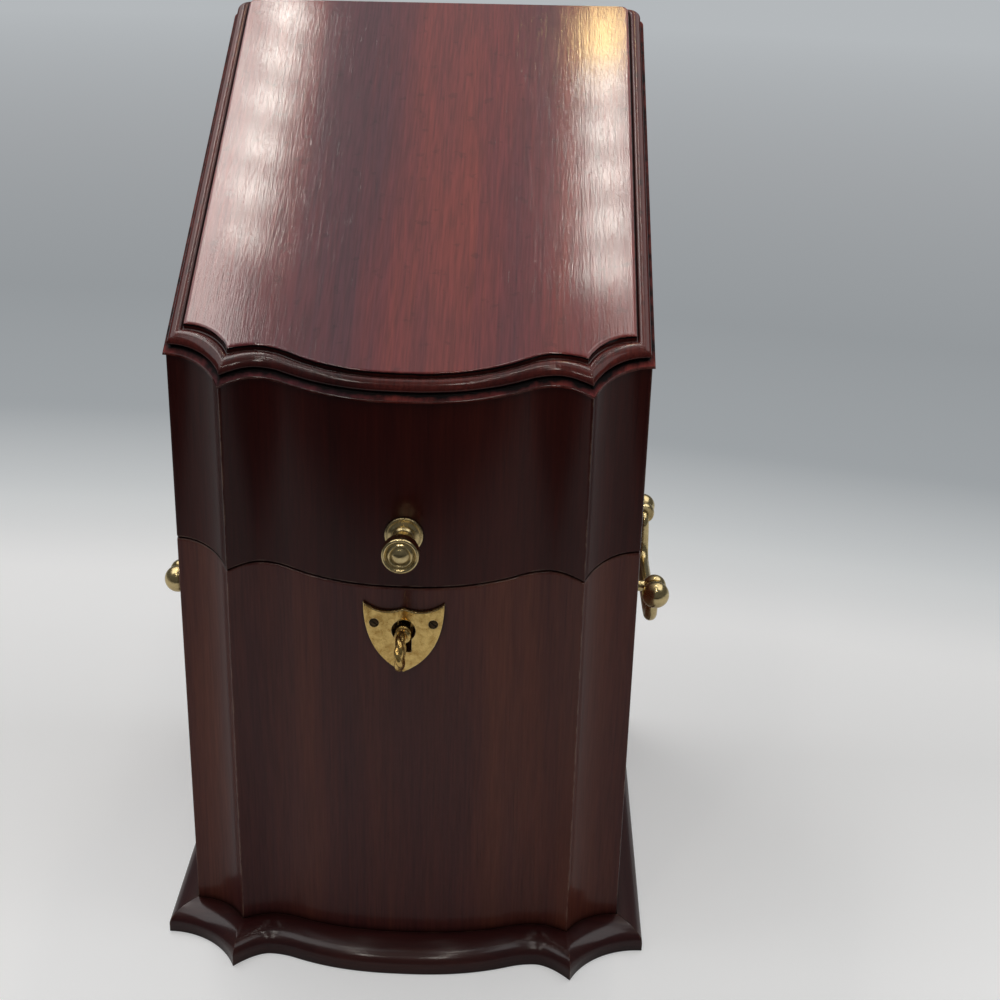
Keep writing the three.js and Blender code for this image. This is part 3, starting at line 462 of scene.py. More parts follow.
def woodFinish(name, look):
    material, tree, shader = newMaterial(name)
    place = addNode(tree, "ShaderNodeTexCoord").outputs["Object"]
    tilt = -math.atan(boxPlan["lidSlope"]) if look.get("sloping") else 0.0
    level = addNode(tree, "ShaderNodeMapping", {"Vector": place, "Rotation": (tilt, 0, 0)}).outputs[0]
    mix = woodMix

    def grained(stretch, *noise):
        scale = [1.0, 1.0, 1.0]
        scale[look["grain"]] = stretch
        along = addNode(tree, "ShaderNodeMapping", {"Vector": level, "Scale": scale}).outputs[0]
        return noiseOn(tree, along, *noise)

    def darker(share):
        return [c * share for c in look["dark"]]

    pattern = {key: grained(*values) for key, values in woodPatterns.items()}
    pores = ranged(tree, pattern["pores"], *mix["poreSpan"])
    streaks = pattern["streaks"]
    tone = plus(tree, times(tree, pattern["bands"], mix["bandShare"]), times(tree, streaks, 1 - mix["bandShare"]))
    tones = (look["dark"], look["middle"], look["light"])
    colour = rampOn(tree, tone, list(zip(mix["stops"], tones)))
    clouds = ranged(tree, pattern["clouds"], *mix["cloudSpan"], 0.0, mix["cloudShare"])
    colour = mixed(tree, clouds, colour, look["dark"])
    colour = mixed(tree, times(tree, pores, mix["poreShare"]), colour, darker(mix["poreTone"]))
    fine = grained(mix["fineStretch"], look["grainScale"], *mix["fineDetail"])      # short lines over the whole board
    shade = ranged(tree, fine, *mix["evenSpan"], 1 - look["grainTone"], 1 + look["grainTone"])
    colour = mixed(tree, 1.0, colour, shade, "MULTIPLY")
    rubbed = ranged(tree, noiseOn(tree, place, mix["rubScale"]), *mix["rubSpan"])
    worn = times(tree, times(tree, edgeMask(tree, mix["arris"]), rubbed), look["wearShare"])
    colour = mixed(tree, worn, colour, look["wear"])
    # dirt and painted shade: the colour darkens where the surface is enclosed, in grooves, corners and under the bead
    dirtAndShade = ranged(tree, openness(tree, mix["hollowReach"]), *mix["hollowSpan"], 0.0, mix["hollowShare"])
    colour = mixed(tree, dirtAndShade, colour, darker(mix["hollowTone"]))
    # painted shade in the cove under the bead and on the riser below the field
    for low, high in look.get("stains", ()):
        colour = mixed(tree, shadeBandBetween(tree, place, low, high), colour, darker(mix["stainTone"]))
    tree.links.new(colour, shader.inputs["Base Color"])
    gloss = ranged(tree, pattern["smear"], *mix["evenSpan"], *look["roughness"])
    tree.links.new(gloss, shader.inputs["Roughness"])
    filled = plus(tree, pattern["ripple"], times(tree, streaks, look["filled"]))
    peel = bumpOn(tree, pattern["peel"], look["peel"], mix["peelDepth"], bumpOn(tree, filled, *mix["coatWave"]))
    tree.links.new(peel, shader.inputs["Coat Normal"])
    ridges = calculated(tree, "SUBTRACT", times(tree, streaks, mix["ridge"]), pores)
    tree.links.new(bumpOn(tree, ridges, look["grainDepth"], mix["grainDepth"], peel), shader.inputs["Normal"])
    shaderSet(shader, {
        "Coat Weight": look["coat"], "Coat Roughness": look["coatRoughness"], "IOR": mix["ior"],
        "Specular IOR Level": look["specular"],
    })
    return material


# metal finishes: spots is the scale of the tarnished blotches, grimeReach how far dirt comes out of a corner
# edge is the colour on the arrises: brass rubbed bright, made paler still as a painted highlight on the rims
metalLooks = {
    "bright": {
        "clean": (0.86, 0.69, 0.36), "tarnish": (0.44, 0.31, 0.13), "edge": (0.92, 0.80, 0.50), "spots": 130.0,
        "cover": 0.42, "roughness": (0.14, 0.34), "grimeReach": 1.6,
    },
    "mottled": {
        "clean": (0.95, 0.67, 0.25), "tarnish": (0.52, 0.29, 0.07), "edge": (0.98, 0.86, 0.58), "spots": 300.0,
        "cover": 0.70, "roughness": (0.17, 0.34), "grimeReach": 0.45,
    },
    "steel": {
        "clean": (0.13, 0.090, 0.050), "tarnish": (0.050, 0.030, 0.016), "edge": (0.34, 0.29, 0.22), "spots": 320.0,
        "cover": 0.6, "roughness": (0.32, 0.55), "grimeReach": 1.6,
    },
}
metalMix = {
    "blotchNoise": (5.0, 0.65, 0.4), "fineNoise": (3.0, 0.6), "fineTimes": 5, "dullSpan": (0.42, 0.66),
    "grimeSpan": (0.85, 0.35), "grimeShare": 0.75, "grimeTone": 0.35, "grimeRough": 0.3, "fineSpan": (0.35, 0.75),
    "fineShare": 0.35, "arris": 0.35, "edgeShare": 0.8, "edgeRough": 0.22, "roughSpan": (0.35, 0.7),
    "dents": (0.16, 0.05),
}


def metalFinish(name, look):
    material, tree, shader = newMaterial(name)
    mix = metalMix
    place = addNode(tree, "ShaderNodeTexCoord").outputs["Object"]
    blotches = noiseOn(tree, place, look["spots"], *mix["blotchNoise"])
    fine = noiseOn(tree, place, look["spots"] * mix["fineTimes"], *mix["fineNoise"])
    dull = times(tree, ranged(tree, blotches, *mix["dullSpan"]), look["cover"])
    grime = ranged(tree, openness(tree, look["grimeReach"]), *mix["grimeSpan"], 0.0, mix["grimeShare"])
    edges = edgeMask(tree, mix["arris"])
    colour = mixed(tree, dull, look["clean"], look["tarnish"])
    colour = mixed(tree, ranged(tree, fine, *mix["fineSpan"], 0.0, mix["fineShare"]), colour, look["tarnish"])
    colour = mixed(tree, grime, colour, [c * mix["grimeTone"] for c in look["tarnish"]])
    # edges rubbed bright by handling, and paler still as a painted highlight along the rims
    colour = mixed(tree, times(tree, edges, mix["edgeShare"]), colour, look["edge"])
    tree.links.new(colour, shader.inputs["Base Color"])
    rough = plus(tree, ranged(tree, blotches, *mix["roughSpan"], *look["roughness"]),
                 times(tree, grime, mix["grimeRough"]))
    rough = plus(tree, rough, times(tree, edges, mix["edgeRough"]))
    tree.links.new(rough, shader.inputs["Roughness"])
    tree.links.new(bumpOn(tree, fine, *mix["dents"]), shader.inputs["Normal"])
    shaderSet(shader, {"Metallic": 1.0})
    return material


wood = {key: woodFinish(f"mahogany_{key}", look) for key, look in woodLooks.items()}
metal = {key: metalFinish(f"metal_{key}", look) for key, look in metalLooks.items()}
print("finishes mixed")

# carcase and lid boards
boardEdges = {
    "ease": 0.75, "sideEase": 0.25, "bottomEase": 0.2, "sharpAngle": 24, "boardGap": 0.1, "seamLift": 0.35,
    "gap": 0.3, "plate": 1.2, "behind": 1.0, "above": 5.0, "below": 3.0, "knobHole": 2.3, "knobHoleDepth": 15.0,
}
keyhole = {"radius": 5.1, "width": 6.8, "length": 10.0, "steps": 28, "from": -40.0, "to": 20.0}


def keyholeCutter():
    radius, half, steps = keyhole["radius"], keyhole["width"] / 2, keyhole["steps"]
    start = math.asin(half / radius)
    around = [start + (2 * math.pi - 2 * start) * i / steps for i in range(steps + 1)]
    outline = [(radius * math.sin(a), keyHeight - radius * math.cos(a)) for a in around]
    outline += [(-half, keyHeight - keyhole["length"]), (half, keyHeight - keyhole["length"])]
    return cutter(ringsMesh([[atFrame(x, y, z) for x, z in outline] for y in (keyhole["from"], keyhole["to"])]))


def makeCarcaseFront():
    gap = boardEdges["gap"]
    low, high = (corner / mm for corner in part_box("lock_case"))
    body = wallMesh(frontOutline(planLine(), boxPlan["frontThickness"]),
                    lambda y: bottomTop + boardEdges["boardGap"], seamAt)
    back = boxPlan["frontThickness"] + boardEdges["behind"]
    recess = boxCutter(low.x - gap, high.x + gap, low.y - yShift - gap, back,
                       lambda y: low.z - gap, lambda y: seamAt(y) + boardEdges["above"])
    return shaded(softened(body, boardEdges["ease"]), "carcaseFront", boardEdges["sharpAngle"],
                  (recess, keyholeCutter()))


def makeLidFront():
    gap = boardEdges["gap"]
    low, high = (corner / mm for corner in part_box("lid_catch_plate"))
    wallTop = boxPlan["lidWall"] - boardEdges["boardGap"]
    lid = wallMesh(frontOutline(planLine(), boxPlan["frontThickness"]),
                   lambda y: seamAt(y) + boxPlan["seamGap"] + boardEdges["seamLift"],
                   lambda y: seamAt(y) + wallTop)
    recess = boxCutter(low.x - gap, high.x + gap, low.y - yShift - gap, high.y - yShift + gap,
                       lambda y: seamAt(y) - boardEdges["below"],
                       lambda y: seamAt(y) + boxPlan["seamGap"] + boardEdges["plate"] + gap)
    hole = turnedMesh([(boardEdges["knobHole"], 0), (boardEdges["knobHole"], boardEdges["knobHoleDepth"])],
                      atFrame(0, -boxPlan["bowDepth"] - boardEdges["behind"], knobHeight), (0, 1, 0), around=24)
    return shaded(softened(lid, boardEdges["ease"]), "lidFront", boardEdges["sharpAngle"], (recess, cutter(hole)))


placed(makeCarcaseFront(), wood["upright"], "carcase_front", ("carcase_front",))
placed(makeLidFront(), wood["lidFront"], "lid_front", ("lid_front",))

for node, name in (("carcase_side_left", "carcaseSideLeft"), ("carcase_side_right", "carcaseSideRight"),
                   ("carcase_back", "carcaseBack"), ("lid_side_left", "lidSideLeft"),
                   ("lid_side_right", "lidSideRight"), ("lid_back", "lidBack")):
    softCopy(node, name, wood["upright"], boardEdges["sideEase"])
softCopy("carcase_bottom", "carcaseBottom", wood["mouldingAlong"], boardEdges["bottomEase"])
print("boards made")

# lid top: lip, cove, bead, ledge and raised field; shares of the spread or inset, and heights
lidTopProfile = {
    "lip": [(0.06, 0.0), (0.09, 0.25), (0.09, 0.9), (0.07, 1.15), (0.0, 1.25)],
    "cove": [(-0.12, 1.35), (-0.22, 1.6), (-0.29, 2.0)],
    "bead": {"share": -0.53, "height": 3.9, "reach": 0.43, "rise": 2.1, "from": -48, "to": 150, "steps": 22},
    "field": [(-0.95, 4.8), (-0.99, 4.9), (-1.0, 5.1), (-1.0, 6.95), (-1.03, 7.18), (-1.09, 7.3), (-1.2, 7.3)],
    "backCorner": 3.0,
    "dull": (1.1, 3.0), "fieldFrom": 6.9,
}


def makeLidTop():
    bead = lidTopProfile["bead"]
    profile = lidTopProfile["lip"] + lidTopProfile["cove"]
    for i in range(bead["steps"] + 1):
        angle = math.radians(bead["from"] + (bead["to"] - bead["from"]) * i / bead["steps"])
        profile.append((bead["share"] + bead["reach"] * math.cos(angle),
                        bead["height"] + bead["rise"] * math.sin(angle)))
    profile += lidTopProfile["field"]
    rings = []
    for share, height in profile:
        line = planLine(baseSpread if share > 0 else fieldInset, share)
        outline = roundedBack(line, carcaseDepth, lidTopProfile["backCorner"])
        rings.append([atFrame(x, y, seamAt(y) + boxPlan["lidWall"] + height) for x, y in outline])
    return shaded(ringsMesh(rings), "lidTop", sharpAngle=30)


def darkEdge(top):
    # the moulded edge is darker than the field, and the hollow under the bead has lost its polish
    low, high = lidTopProfile["dull"]
    top.data.materials.append(wood["lidEdge"])
    top.data.materials.append(wood["lidCove"])
    for face in top.data.polygons:
        over = face.center.z / mm - seamAt(face.center.y / mm - yShift) - boxPlan["lidWall"]
        if over < lidTopProfile["fieldFrom"]:
            face.material_index = 2 if low < over < high else 1


darkEdge(placed(makeLidTop(), wood["lidTop"], "lid_top_board", ("lid_top_board",)))
print("lid top made")

# base moulding: a square edge under an ovolo
baseProfile = {"height": 11.5, "edge": 4.5, "gap": 0.3, "steps": 14, "ease": 0.4}


def baseSection():
    ease = baseProfile["ease"]
    share = ease / baseSpread["side"]
    section = [(0.0, 0.0), (1 - share, 0.0), (1.0, ease), (1.0, baseProfile["edge"] - ease * 0.5)]
    for i in range(1, baseProfile["steps"] + 1):
        angle = math.pi / 2 * i / baseProfile["steps"]
        rise = (baseProfile["height"] - baseProfile["edge"]) * math.sin(angle)
        section.append((math.cos(angle), baseProfile["edge"] + rise))
    return [(planLine(baseSpread, baseProfile["gap"] / baseSpread["side"] + s), z) for s, z in section]


def makeBaseFront():
    section = baseSection()
    curves = [frontCurve(line) for line, z in section]
    rings = []
    for i in range(len(curves[0])):
        rings.append([atFrame(*curves[k][i], z) for k, (line, z) in enumerate(section)])
    return shaded(ringsMesh(rings), "baseFront", sharpAngle=30)


def makeBaseSide(side, name):
    section = baseSection()
    mitre = [atFrame(side * line["cornerX"], line["cornerY"] + baseProfile["gap"], z) for line, z in section]
    back = [Vector((p.x, (carcaseDepth + yShift) * mm, p.z)) for p in mitre]
    return shaded(ringsMesh([mitre, back]), name, sharpAngle=30)


placed(makeBaseFront(), wood["mouldingAcross"], "base_moulding_front", ("base_moulding_front",))
placed(makeBaseSide(-1, "baseLeft"), wood["mouldingAlong"], "base_moulding_left", ("base_moulding_left",))
placed(makeBaseSide(1, "baseRight"), wood["mouldingAlong"], "base_moulding_right", ("base_moulding_right",))
print("base moulding made")

# cutlery board and rails
boardEase = {"board": 0.5, "rail": 0.4}
softCopy("cutlery_board", "cutleryBoard", wood["inside"], boardEase["board"])
softCopy("board_rail_left", "boardRailLeft", wood["inside"], boardEase["rail"])
softCopy("board_rail_right", "boardRailRight", wood["inside"], boardEase["rail"])
print("cutlery board made")

# lock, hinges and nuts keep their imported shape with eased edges
fittingEase = {"plate": 0.12, "catch": 0.15, "nut": 0.2}
softCopy("lock_case", "lockCase", metal["mottled"], fittingEase["plate"])
softCopy("lock_cover", "lockCover", metal["mottled"], fittingEase["plate"])
softCopy("lid_catch_plate", "catchPlate", metal["mottled"], fittingEase["catch"])
softCopy("lock_bolt", "lockBolt", metal["steel"], fittingEase["catch"])
for side in ("left", "right"):
    for node in ("hinge_body_leaf", "hinge_lid_leaf", "hinge_pin"):
        words = node.split("_")
        name = words[0] + "".join(w.capitalize() for w in words[1:]) + side.capitalize()
        softCopy(f"{node}_{side}", name, metal["mottled"], fittingEase["plate"])
    for end in ("front", "rear"):
        name = f"nut{side.capitalize()}{end.capitalize()}"
        softCopy(f"handle_nut_{side}_{end}", name, metal["mottled"], fittingEase["nut"])
print("lock and hinges dressed")

# shield escutcheon and its screws
shieldEdges = {"rim": 0.5, "screw": 0.12, "clear": 3.0, "front": -0.7, "wall": 0.5, "segments": 2, "profile": 0.5}


def makeShield():
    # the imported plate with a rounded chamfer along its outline
    look = shieldEdges
    bm = packedMesh("shield_escutcheon")
    bmesh.ops.recalc_face_normals(bm, faces=bm.faces)
    middle = sum(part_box("shield_escutcheon"), Vector()) / 2
    screws = [sum(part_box(f"escutcheon_screw_{side}"), Vector()) / 2 for side in ("left", "right")]
    rim = []
    for edge in bm.edges:
        fronts = [f for f in edge.link_faces if f.normal.y < look["front"]]
        walls = [f for f in edge.link_faces if abs(f.normal.y) < look["wall"]]
        place = (edge.verts[0].co + edge.verts[1].co) / 2
        clear = min(math.hypot(place.x - s.x, place.z - s.z) for s in screws) > look["clear"] * mm
        if len(fronts) == 1 and len(walls) == 1 and clear and walls[0].normal.dot(place - middle) > 0:
            rim.append(edge)
    bmesh.ops.bevel(bm, geom=rim, offset=look["rim"] * mm, segments=look["segments"], profile=look["profile"],
                    affect="EDGES", clamp_overlap=False)
    return shaded(bm, "shieldPlate", sharpAngle=28)


placed(makeShield(), metal["mottled"], "shield_escutcheon", ("shield_escutcheon",))
for side in ("left", "right"):
    softCopy(f"escutcheon_screw_{side}", f"shieldScrew{side.capitalize()}", metal["steel"], shieldEdges["screw"])
print("escutcheon made")

# key: a collared shank and an oval bow of twisted rope
keyLook = {
    "shank": 2.6, "out": 10.0, "end": 7.0, "collar": 0.8, "bitThickness": 2.0, "bitFrom": 0.5, "bitTo": 3.5,
    "bitEase": 0.2, "bowLength": 21.0, "bowHeight": 16.0, "bowSink": 1.4, "bowEase": 0.6, "rope": 2.0, "lobe": 0.6,
    "groove": 0.7, "twists": 6, "stations": 260, "around": 20,
}


def makeKey():
    look = keyLook
    start = -boxPlan["bowDepth"] - look["out"]
    length = look["end"] - start
    shank, collar = look["shank"], look["shank"] + look["collar"]
    profile = [(0, 0), (shank - 0.7, 0), (shank - 0.35, 0.25), (shank - 0.3, 2.4), (shank, 2.6), (collar - 0.15, 2.8),
               (collar, 3.1), (collar, 3.9), (collar - 0.15, 4.2), (shank, 4.5), (shank - 0.1, 5.0), (shank, 5.5),
               (collar - 0.35, 5.7), (collar - 0.2, 6.0), (collar - 0.2, 6.6), (collar - 0.35, 6.9), (shank, 7.1),
               (shank, length - 0.3), (shank - 0.3, length), (0, length)]
    bm = turnedMesh(profile, atFrame(0, start, keyHeight), (0, 1, 0), around=40)
    half, front, back = look["bitThickness"] / 2, look["bitFrom"], look["bitTo"]
    plate = [(-half, front), (half, front), (half, back), (-half, back)]
    bit = wallMesh(plate, lambda y: keyHeight - boxPlan["bitLength"], lambda y: keyHeight)
    addTo(bm, softened(bit, look["bitEase"]))
    middle = start - look["bowLength"] / 2 + look["bowSink"]
    along, across = look["bowLength"] / 2 - look["rope"] - look["bowEase"], look["bowHeight"] / 2 - look["rope"]
    rows = []
    for s in range(look["stations"]):
        angle = 2 * math.pi * s / look["stations"]
        centre = atFrame(0, middle + along * math.cos(angle), keyHeight + across * math.sin(angle))
        outward = Vector((0, across * math.cos(angle), along * math.sin(angle))).normalized()
        row = []
        for i in range(look["around"]):
            turn = 2 * math.pi * i / look["around"]
            groove = abs(math.cos(turn - look["twists"] * angle / 2)) ** look["groove"]
            radius = look["rope"] - 2 * look["lobe"] * (1 - groove)
            row.append(centre + (outward * math.cos(turn) + Vector((1, 0, 0)) * math.sin(turn)) * radius * mm)
        rows.append(row)
    addTo(bm, ringsMesh(rows, closeLoop=True))
    return shaded(bm, "boxKey", sharpAngle=40)


placed(makeKey(), metal["mottled"], "key", ("key",))
print("key made")

# lifting knob and its rose
knobLook = {
    "radius": 7.6, "neck": 3.8, "shank": 2.0, "shankLength": 14.0, "length": 22.0, "rose": 7.9, "roseThickness": 2.0,
    "gap": 0.3, "around": 72,
}


def makeKnob():
    look = knobLook
    seat, face = look["roseThickness"] + 0.1, look["length"] - look["gap"]
    neck, radius = look["neck"], look["radius"]
    profile = [(0, -look["shankLength"]), (look["shank"], -look["shankLength"]), (look["shank"], seat),
               (neck + 0.7, seat), (neck + 0.9, seat + 0.35), (neck + 0.8, seat + 0.8), (neck + 0.2, seat + 1.3),
               (neck - 0.1, seat + 2.2),
               (neck - 0.2, seat + 3.4), (neck - 0.1, seat + 4.8), (neck + 0.3, seat + 6.2), (neck + 1.0, seat + 7.6),
               (neck + 1.8, seat + 8.9), (radius - 1.2, seat + 10.3), (radius - 0.6, seat + 11.6),
               (radius - 0.2, seat + 13.0), (radius, seat + 14.5), (radius, face - 2.0), (radius - 0.12, face - 1.5),
               (radius - 0.45, face - 1.05), (radius - 0.9, face - 0.95), (radius - 1.3, face - 1.15),
               (radius - 1.6, face - 1.65), (radius - 2.0, face - 1.85), (radius - 2.4, face - 1.65),
               (radius - 2.7, face - 1.15), (radius - 3.1, face - 0.95), (radius - 3.5, face - 1.15),
               (radius - 3.8, face - 1.6), (radius - 4.1, face - 1.5), (radius - 4.6, face - 0.95),
               (radius - 5.3, face - 0.5), (radius - 6.3, face - 0.15), (0, face)]
    place = atFrame(0, -boxPlan["bowDepth"] - look["gap"], knobHeight)
    return shaded(turnedMesh(profile, place, (0, -1, 0), look["around"]), "liftingKnob", sharpAngle=50)


def makeRose():
    look = knobLook
    rose, inner = look["rose"], look["shank"] + look["gap"]
    profile = [(inner, 0), (rose - 0.2, 0), (rose, 0.25), (rose, 0.8), (rose - 0.25, 1.1), (rose - 0.9, 1.2),
               (rose - 1.3, 1.1), (rose - 1.7, 1.25), (rose - 2.5, 1.6), (rose - 3.1, 1.95),
               (inner, look["roseThickness"])]
    place = atFrame(0, -boxPlan["bowDepth"] - look["gap"], knobHeight)
    return shaded(turnedMesh(profile, place, (0, -1, 0), look["around"]), "knobRose", sharpAngle=50)


placed(makeKnob(), metal["bright"], "knob", ("knob",))
placed(makeRose(), metal["bright"], "knob_rose", ("knob_rose",))
print("knob made")

# side handles: posts, balls and hanging bails
handleLook = {
    "height": 151.0, "setBack": 5.0, "bore": 84.0, "out": 12.6, "gap": 0.3, "ball": 6.2, "wire": 2.2, "swell": 1.1,
    "neckInset": 7.0, "drop": 21.7, "turns": (4.2, 10.0), "stem": 2.5, "head": 5.4, "headHalf": 2.6, "shank": 2.0,
    "shankLength": 13.5, "rose": 5.0, "roseThickness": 1.5, "stemStart": 2.3, "headSteps": 24, "ballFlat": 0.4,
    "ballSteps": 32, "runSteps": 8, "turnSteps": 16, "stations": 240, "around": 20,
}
handleMiddle = carcaseDepth / 2 + handleLook["setBack"]
ballReach = handleLook["ball"] - handleLook["ballFlat"]
ballMiddle = handleLook["bore"] / 2 + handleLook["headHalf"] + handleLook["gap"] + ballReach


def handlePoint(side, along, up, out):
    return atFrame(side * (halfWidth + out), handleMiddle + along, handleLook["height"] + up)


def roundedPath(points, turns):
    # straight runs with a rounded turn at each point in between, as evenly spaced points
    run, bend = handleLook["runSteps"], handleLook["turnSteps"]
    track, start = [], points[0]
    for i in range(1, len(points) - 1):
        before = points[i] + (points[i - 1] - points[i]).normalized() * turns[i - 1] * mm
        after = points[i] + (points[i + 1] - points[i]).normalized() * turns[i - 1] * mm
        track += [start.lerp(before, k / run) for k in range(run)]
        for share in (k / bend for k in range(bend)):
            track.append(before.lerp(points[i], share).lerp(points[i].lerp(after, share), share))
        start = after
    track += [start.lerp(points[-1], k / run) for k in range(run + 1)]
    lengths = [0.0]
    for a, b in zip(track, track[1:]):
        lengths.append(lengths[-1] + (b - a).length)
    even, k = [], 0
    for s in range(handleLook["stations"] + 1):
        target = lengths[-1] * s / handleLook["stations"]
        while k < len(track) - 2 and lengths[k + 1] < target:
            k += 1
        span = max(lengths[k + 1] - lengths[k], 1e-9)
        even.append(track[k].lerp(track[k + 1], (target - lengths[k]) / span))
    return even


def makeBail(side, name):
    look = handleLook
    neck = look["bore"] / 2 - look["neckInset"]
    half = [(ballMiddle, 0), (neck, 0), (neck, -look["drop"])]
    points = [handlePoint(side, -along, up, look["out"]) for along, up in half]
    points += [handlePoint(side, along, up, look["out"]) for along, up in reversed(half)]
    track = roundedPath(points, look["turns"] + look["turns"][::-1])
    straight = (ballMiddle - neck) * mm / sum((b - a).length for a, b in zip(track, track[1:]))
    rings, normal = [], (track[1] - track[0]).orthogonal().normalized()
    for i, centre in enumerate(track):
        tangent = (track[min(i + 1, len(track) - 1)] - track[max(i - 1, 0)]).normalized()
        normal = (normal - tangent * normal.dot(tangent)).normalized()
        other = tangent.cross(normal)
        share = (i / (len(track) - 1) - straight) / (1 - 2 * straight)
        radius = look["wire"] + look["swell"] * math.sqrt(math.sin(math.pi * min(max(share, 0), 1)))
        rings.append(circleAt(centre, normal, other, radius, look["around"]))
    return shaded(ringsMesh(rings), name, sharpAngle=50)


def makePost(side, end, name):
    look = handleLook
    base, stem, head, rose = look["gap"], look["stem"], look["head"], look["rose"]
    top = base + look["roseThickness"]
    stemStart = top + look["stemStart"]
    profile = [(0, -look["shankLength"]), (look["shank"], -look["shankLength"]), (look["shank"], base),
               (rose - 0.15, base), (rose, base + 0.2), (rose, base + 0.7), (rose - 0.3, base + 0.95),
               (rose - 0.8, base + 1.0),
               (rose - 1.1, top - 0.2), (stem + 0.9, top + 0.3), (stem + 0.5, top + 0.9), (stem + 0.15, top + 1.6),
               (stem, stemStart)]
    low = math.asin(stem / head)
    for i in range(look["headSteps"] + 1):
        angle = -math.pi / 2 + low + (math.pi - low) * i / look["headSteps"]
        profile.append((head * max(math.cos(angle), 0), look["out"] + head * math.sin(angle)))
    place = handlePoint(side, end * look["bore"] / 2, 0, 0)
    bm = turnedMesh(profile, place, (side, 0, 0))
    for vert in bm.verts:      # the head is filed flat on both faces that the bail passes through
        offset = vert.co.y - place.y
        if abs(offset) > look["headHalf"] * mm and abs(vert.co.x - place.x) > stemStart * mm:
            vert.co.y = place.y + math.copysign(look["headHalf"] * mm, offset)
    return shaded(bm, name, sharpAngle=40)


def makeBall(side, end, name):
    look = handleLook
    ball, seat = look["ball"], look["ballFlat"]
    flat = math.acos((ball - seat) / ball)
    profile = [(look["wire"], seat), (ball * math.sin(flat), seat)]
    for i in range(1, look["ballSteps"] + 1):
        angle = flat + (math.pi - flat) * i / look["ballSteps"]
        profile.append((ball * math.sin(angle), ball - ball * math.cos(angle)))
    place = handlePoint(side, end * (ballMiddle - ball), 0, look["out"])
    return shaded(turnedMesh(profile, place, (0, end, 0)), name, sharpAngle=50)


for side, sideWord in ((-1, "left"), (1, "right")):
    placed(makeBail(side, f"bail{sideWord.capitalize()}"), metal["bright"], f"bail_{sideWord}", (f"bail_{sideWord}",))
    for end, endWord in ((-1, "front"), (1, "rear")):
        tail = sideWord.capitalize() + endWord.capitalize()
        for maker, stem in ((makePost, "handle_post"), (makeBall, "bail_ball")):
            node = f"{stem}_{sideWord}_{endWord}"
            words = stem.split("_")
            placed(maker(side, end, words[0] + words[1].capitalize() + tail), metal["bright"], node, (node,))
print("handles made")

# set: a pale table top that runs back into a grey wall tone; its front part is dark to all but the camera
setLook = {
    "near": (0.74, 0.745, 0.75), "dark": (0.02, 0.02, 0.022), "darkFrom": -0.45, "darkTo": -0.64,
    "glow": ((0.10, 0.33), (0.40, 0.22), (0.65, 0.25), (0.87, 0.25)), "glowFrom": -0.16, "glowSpan": 0.6,
    "rightShare": 0.28,
    "wall": ((0.10, (0.56, 0.575, 0.58)), (0.15, (0.335, 0.355, 0.37)), (0.24, (0.297, 0.315, 0.33)),
             (0.43, (0.352, 0.367, 0.382)), (0.82, (0.457, 0.480, 0.498))),
    "wallSpan": 4.0, "tableEnd": 0.27, "wallStart": 0.46, "reach": 8.0, "roughness": 0.45, "specular": 0.3,
}


def makeFloor():
    bm = bmesh.new()
    reach = setLook["reach"]
    corners = ((-reach, -reach), (reach, -reach), (reach, reach), (-reach, reach))
    bm.faces.new([bm.verts.new((x, y, 0.0)) for x, y in corners])
    floor = shaded(bm, "tableTop")
    material, tree, shader = newMaterial("paleTable")
    place = addNode(tree, "ShaderNodeTexCoord").outputs["Object"]
    sides = addNode(tree, "ShaderNodeSeparateXYZ", {0: place})
    aside = times(tree, calculated(tree, "MAXIMUM", sides.outputs["X"], 0.0), setLook["rightShare"])
    depth = plus(tree, sides.outputs["Y"], aside)      # the far tone starts nearer on the right

    def between(start, end):
        return addNode(tree, "ShaderNodeMapRange", {"Value": depth, "From Min": start, "From Max": end},
                       interpolation_type="SMOOTHSTEP").outputs["Result"]

    path = addNode(tree, "ShaderNodeLightPath")
    wall = rampOn(tree, calculated(tree, "DIVIDE", depth, setLook["wallSpan"]), setLook["wall"])
    unseen = calculated(tree, "SUBTRACT", 1.0, path.outputs["Is Camera Ray"])
    dark = times(tree, between(setLook["darkFrom"], setLook["darkTo"]), unseen)
    table = mixed(tree, dark, setLook["near"], setLook["dark"])
    far = between(setLook["tableEnd"], setLook["wallStart"])
    tree.links.new(mixed(tree, far, table, wall), shader.inputs["Base Color"])
    glow = addNode(tree, "ShaderNodeEmission", {"Color": wall, "Strength": 1.0})
    share = ranged(tree, sides.outputs["Y"], setLook["glowFrom"], setLook["glowFrom"] + setLook["glowSpan"])
    brightness = rampOn(tree, share, [(at, (level,) * 3) for at, level in setLook["glow"]])
    tree.links.new(times(tree, brightness, path.outputs["Is Camera Ray"]), shader.inputs["Emission Strength"])
    shaderSet(shader, {
        "Roughness": setLook["roughness"], "Specular IOR Level": setLook["specular"],
        "Emission Color": (1.0, 1.0, 1.0, 1.0),
    })
    seen = calculated(tree, "MAXIMUM", path.outputs["Is Camera Ray"], path.outputs["Is Glossy Ray"])
    seen = calculated(tree, "MAXIMUM", seen, path.outputs["Is Transmission Ray"])
    mix = addNode(tree, "ShaderNodeMixShader", {0: times(tree, seen, far)})
    tree.links.new(shader.outputs[0], mix.inputs[1])
    tree.links.new(glow.outputs[0], mix.inputs[2])
    tree.links.new(mix.outputs[0], tree.nodes["Material Output"].inputs["Surface"])
    floor.data.materials.append(material)


makeFloor()

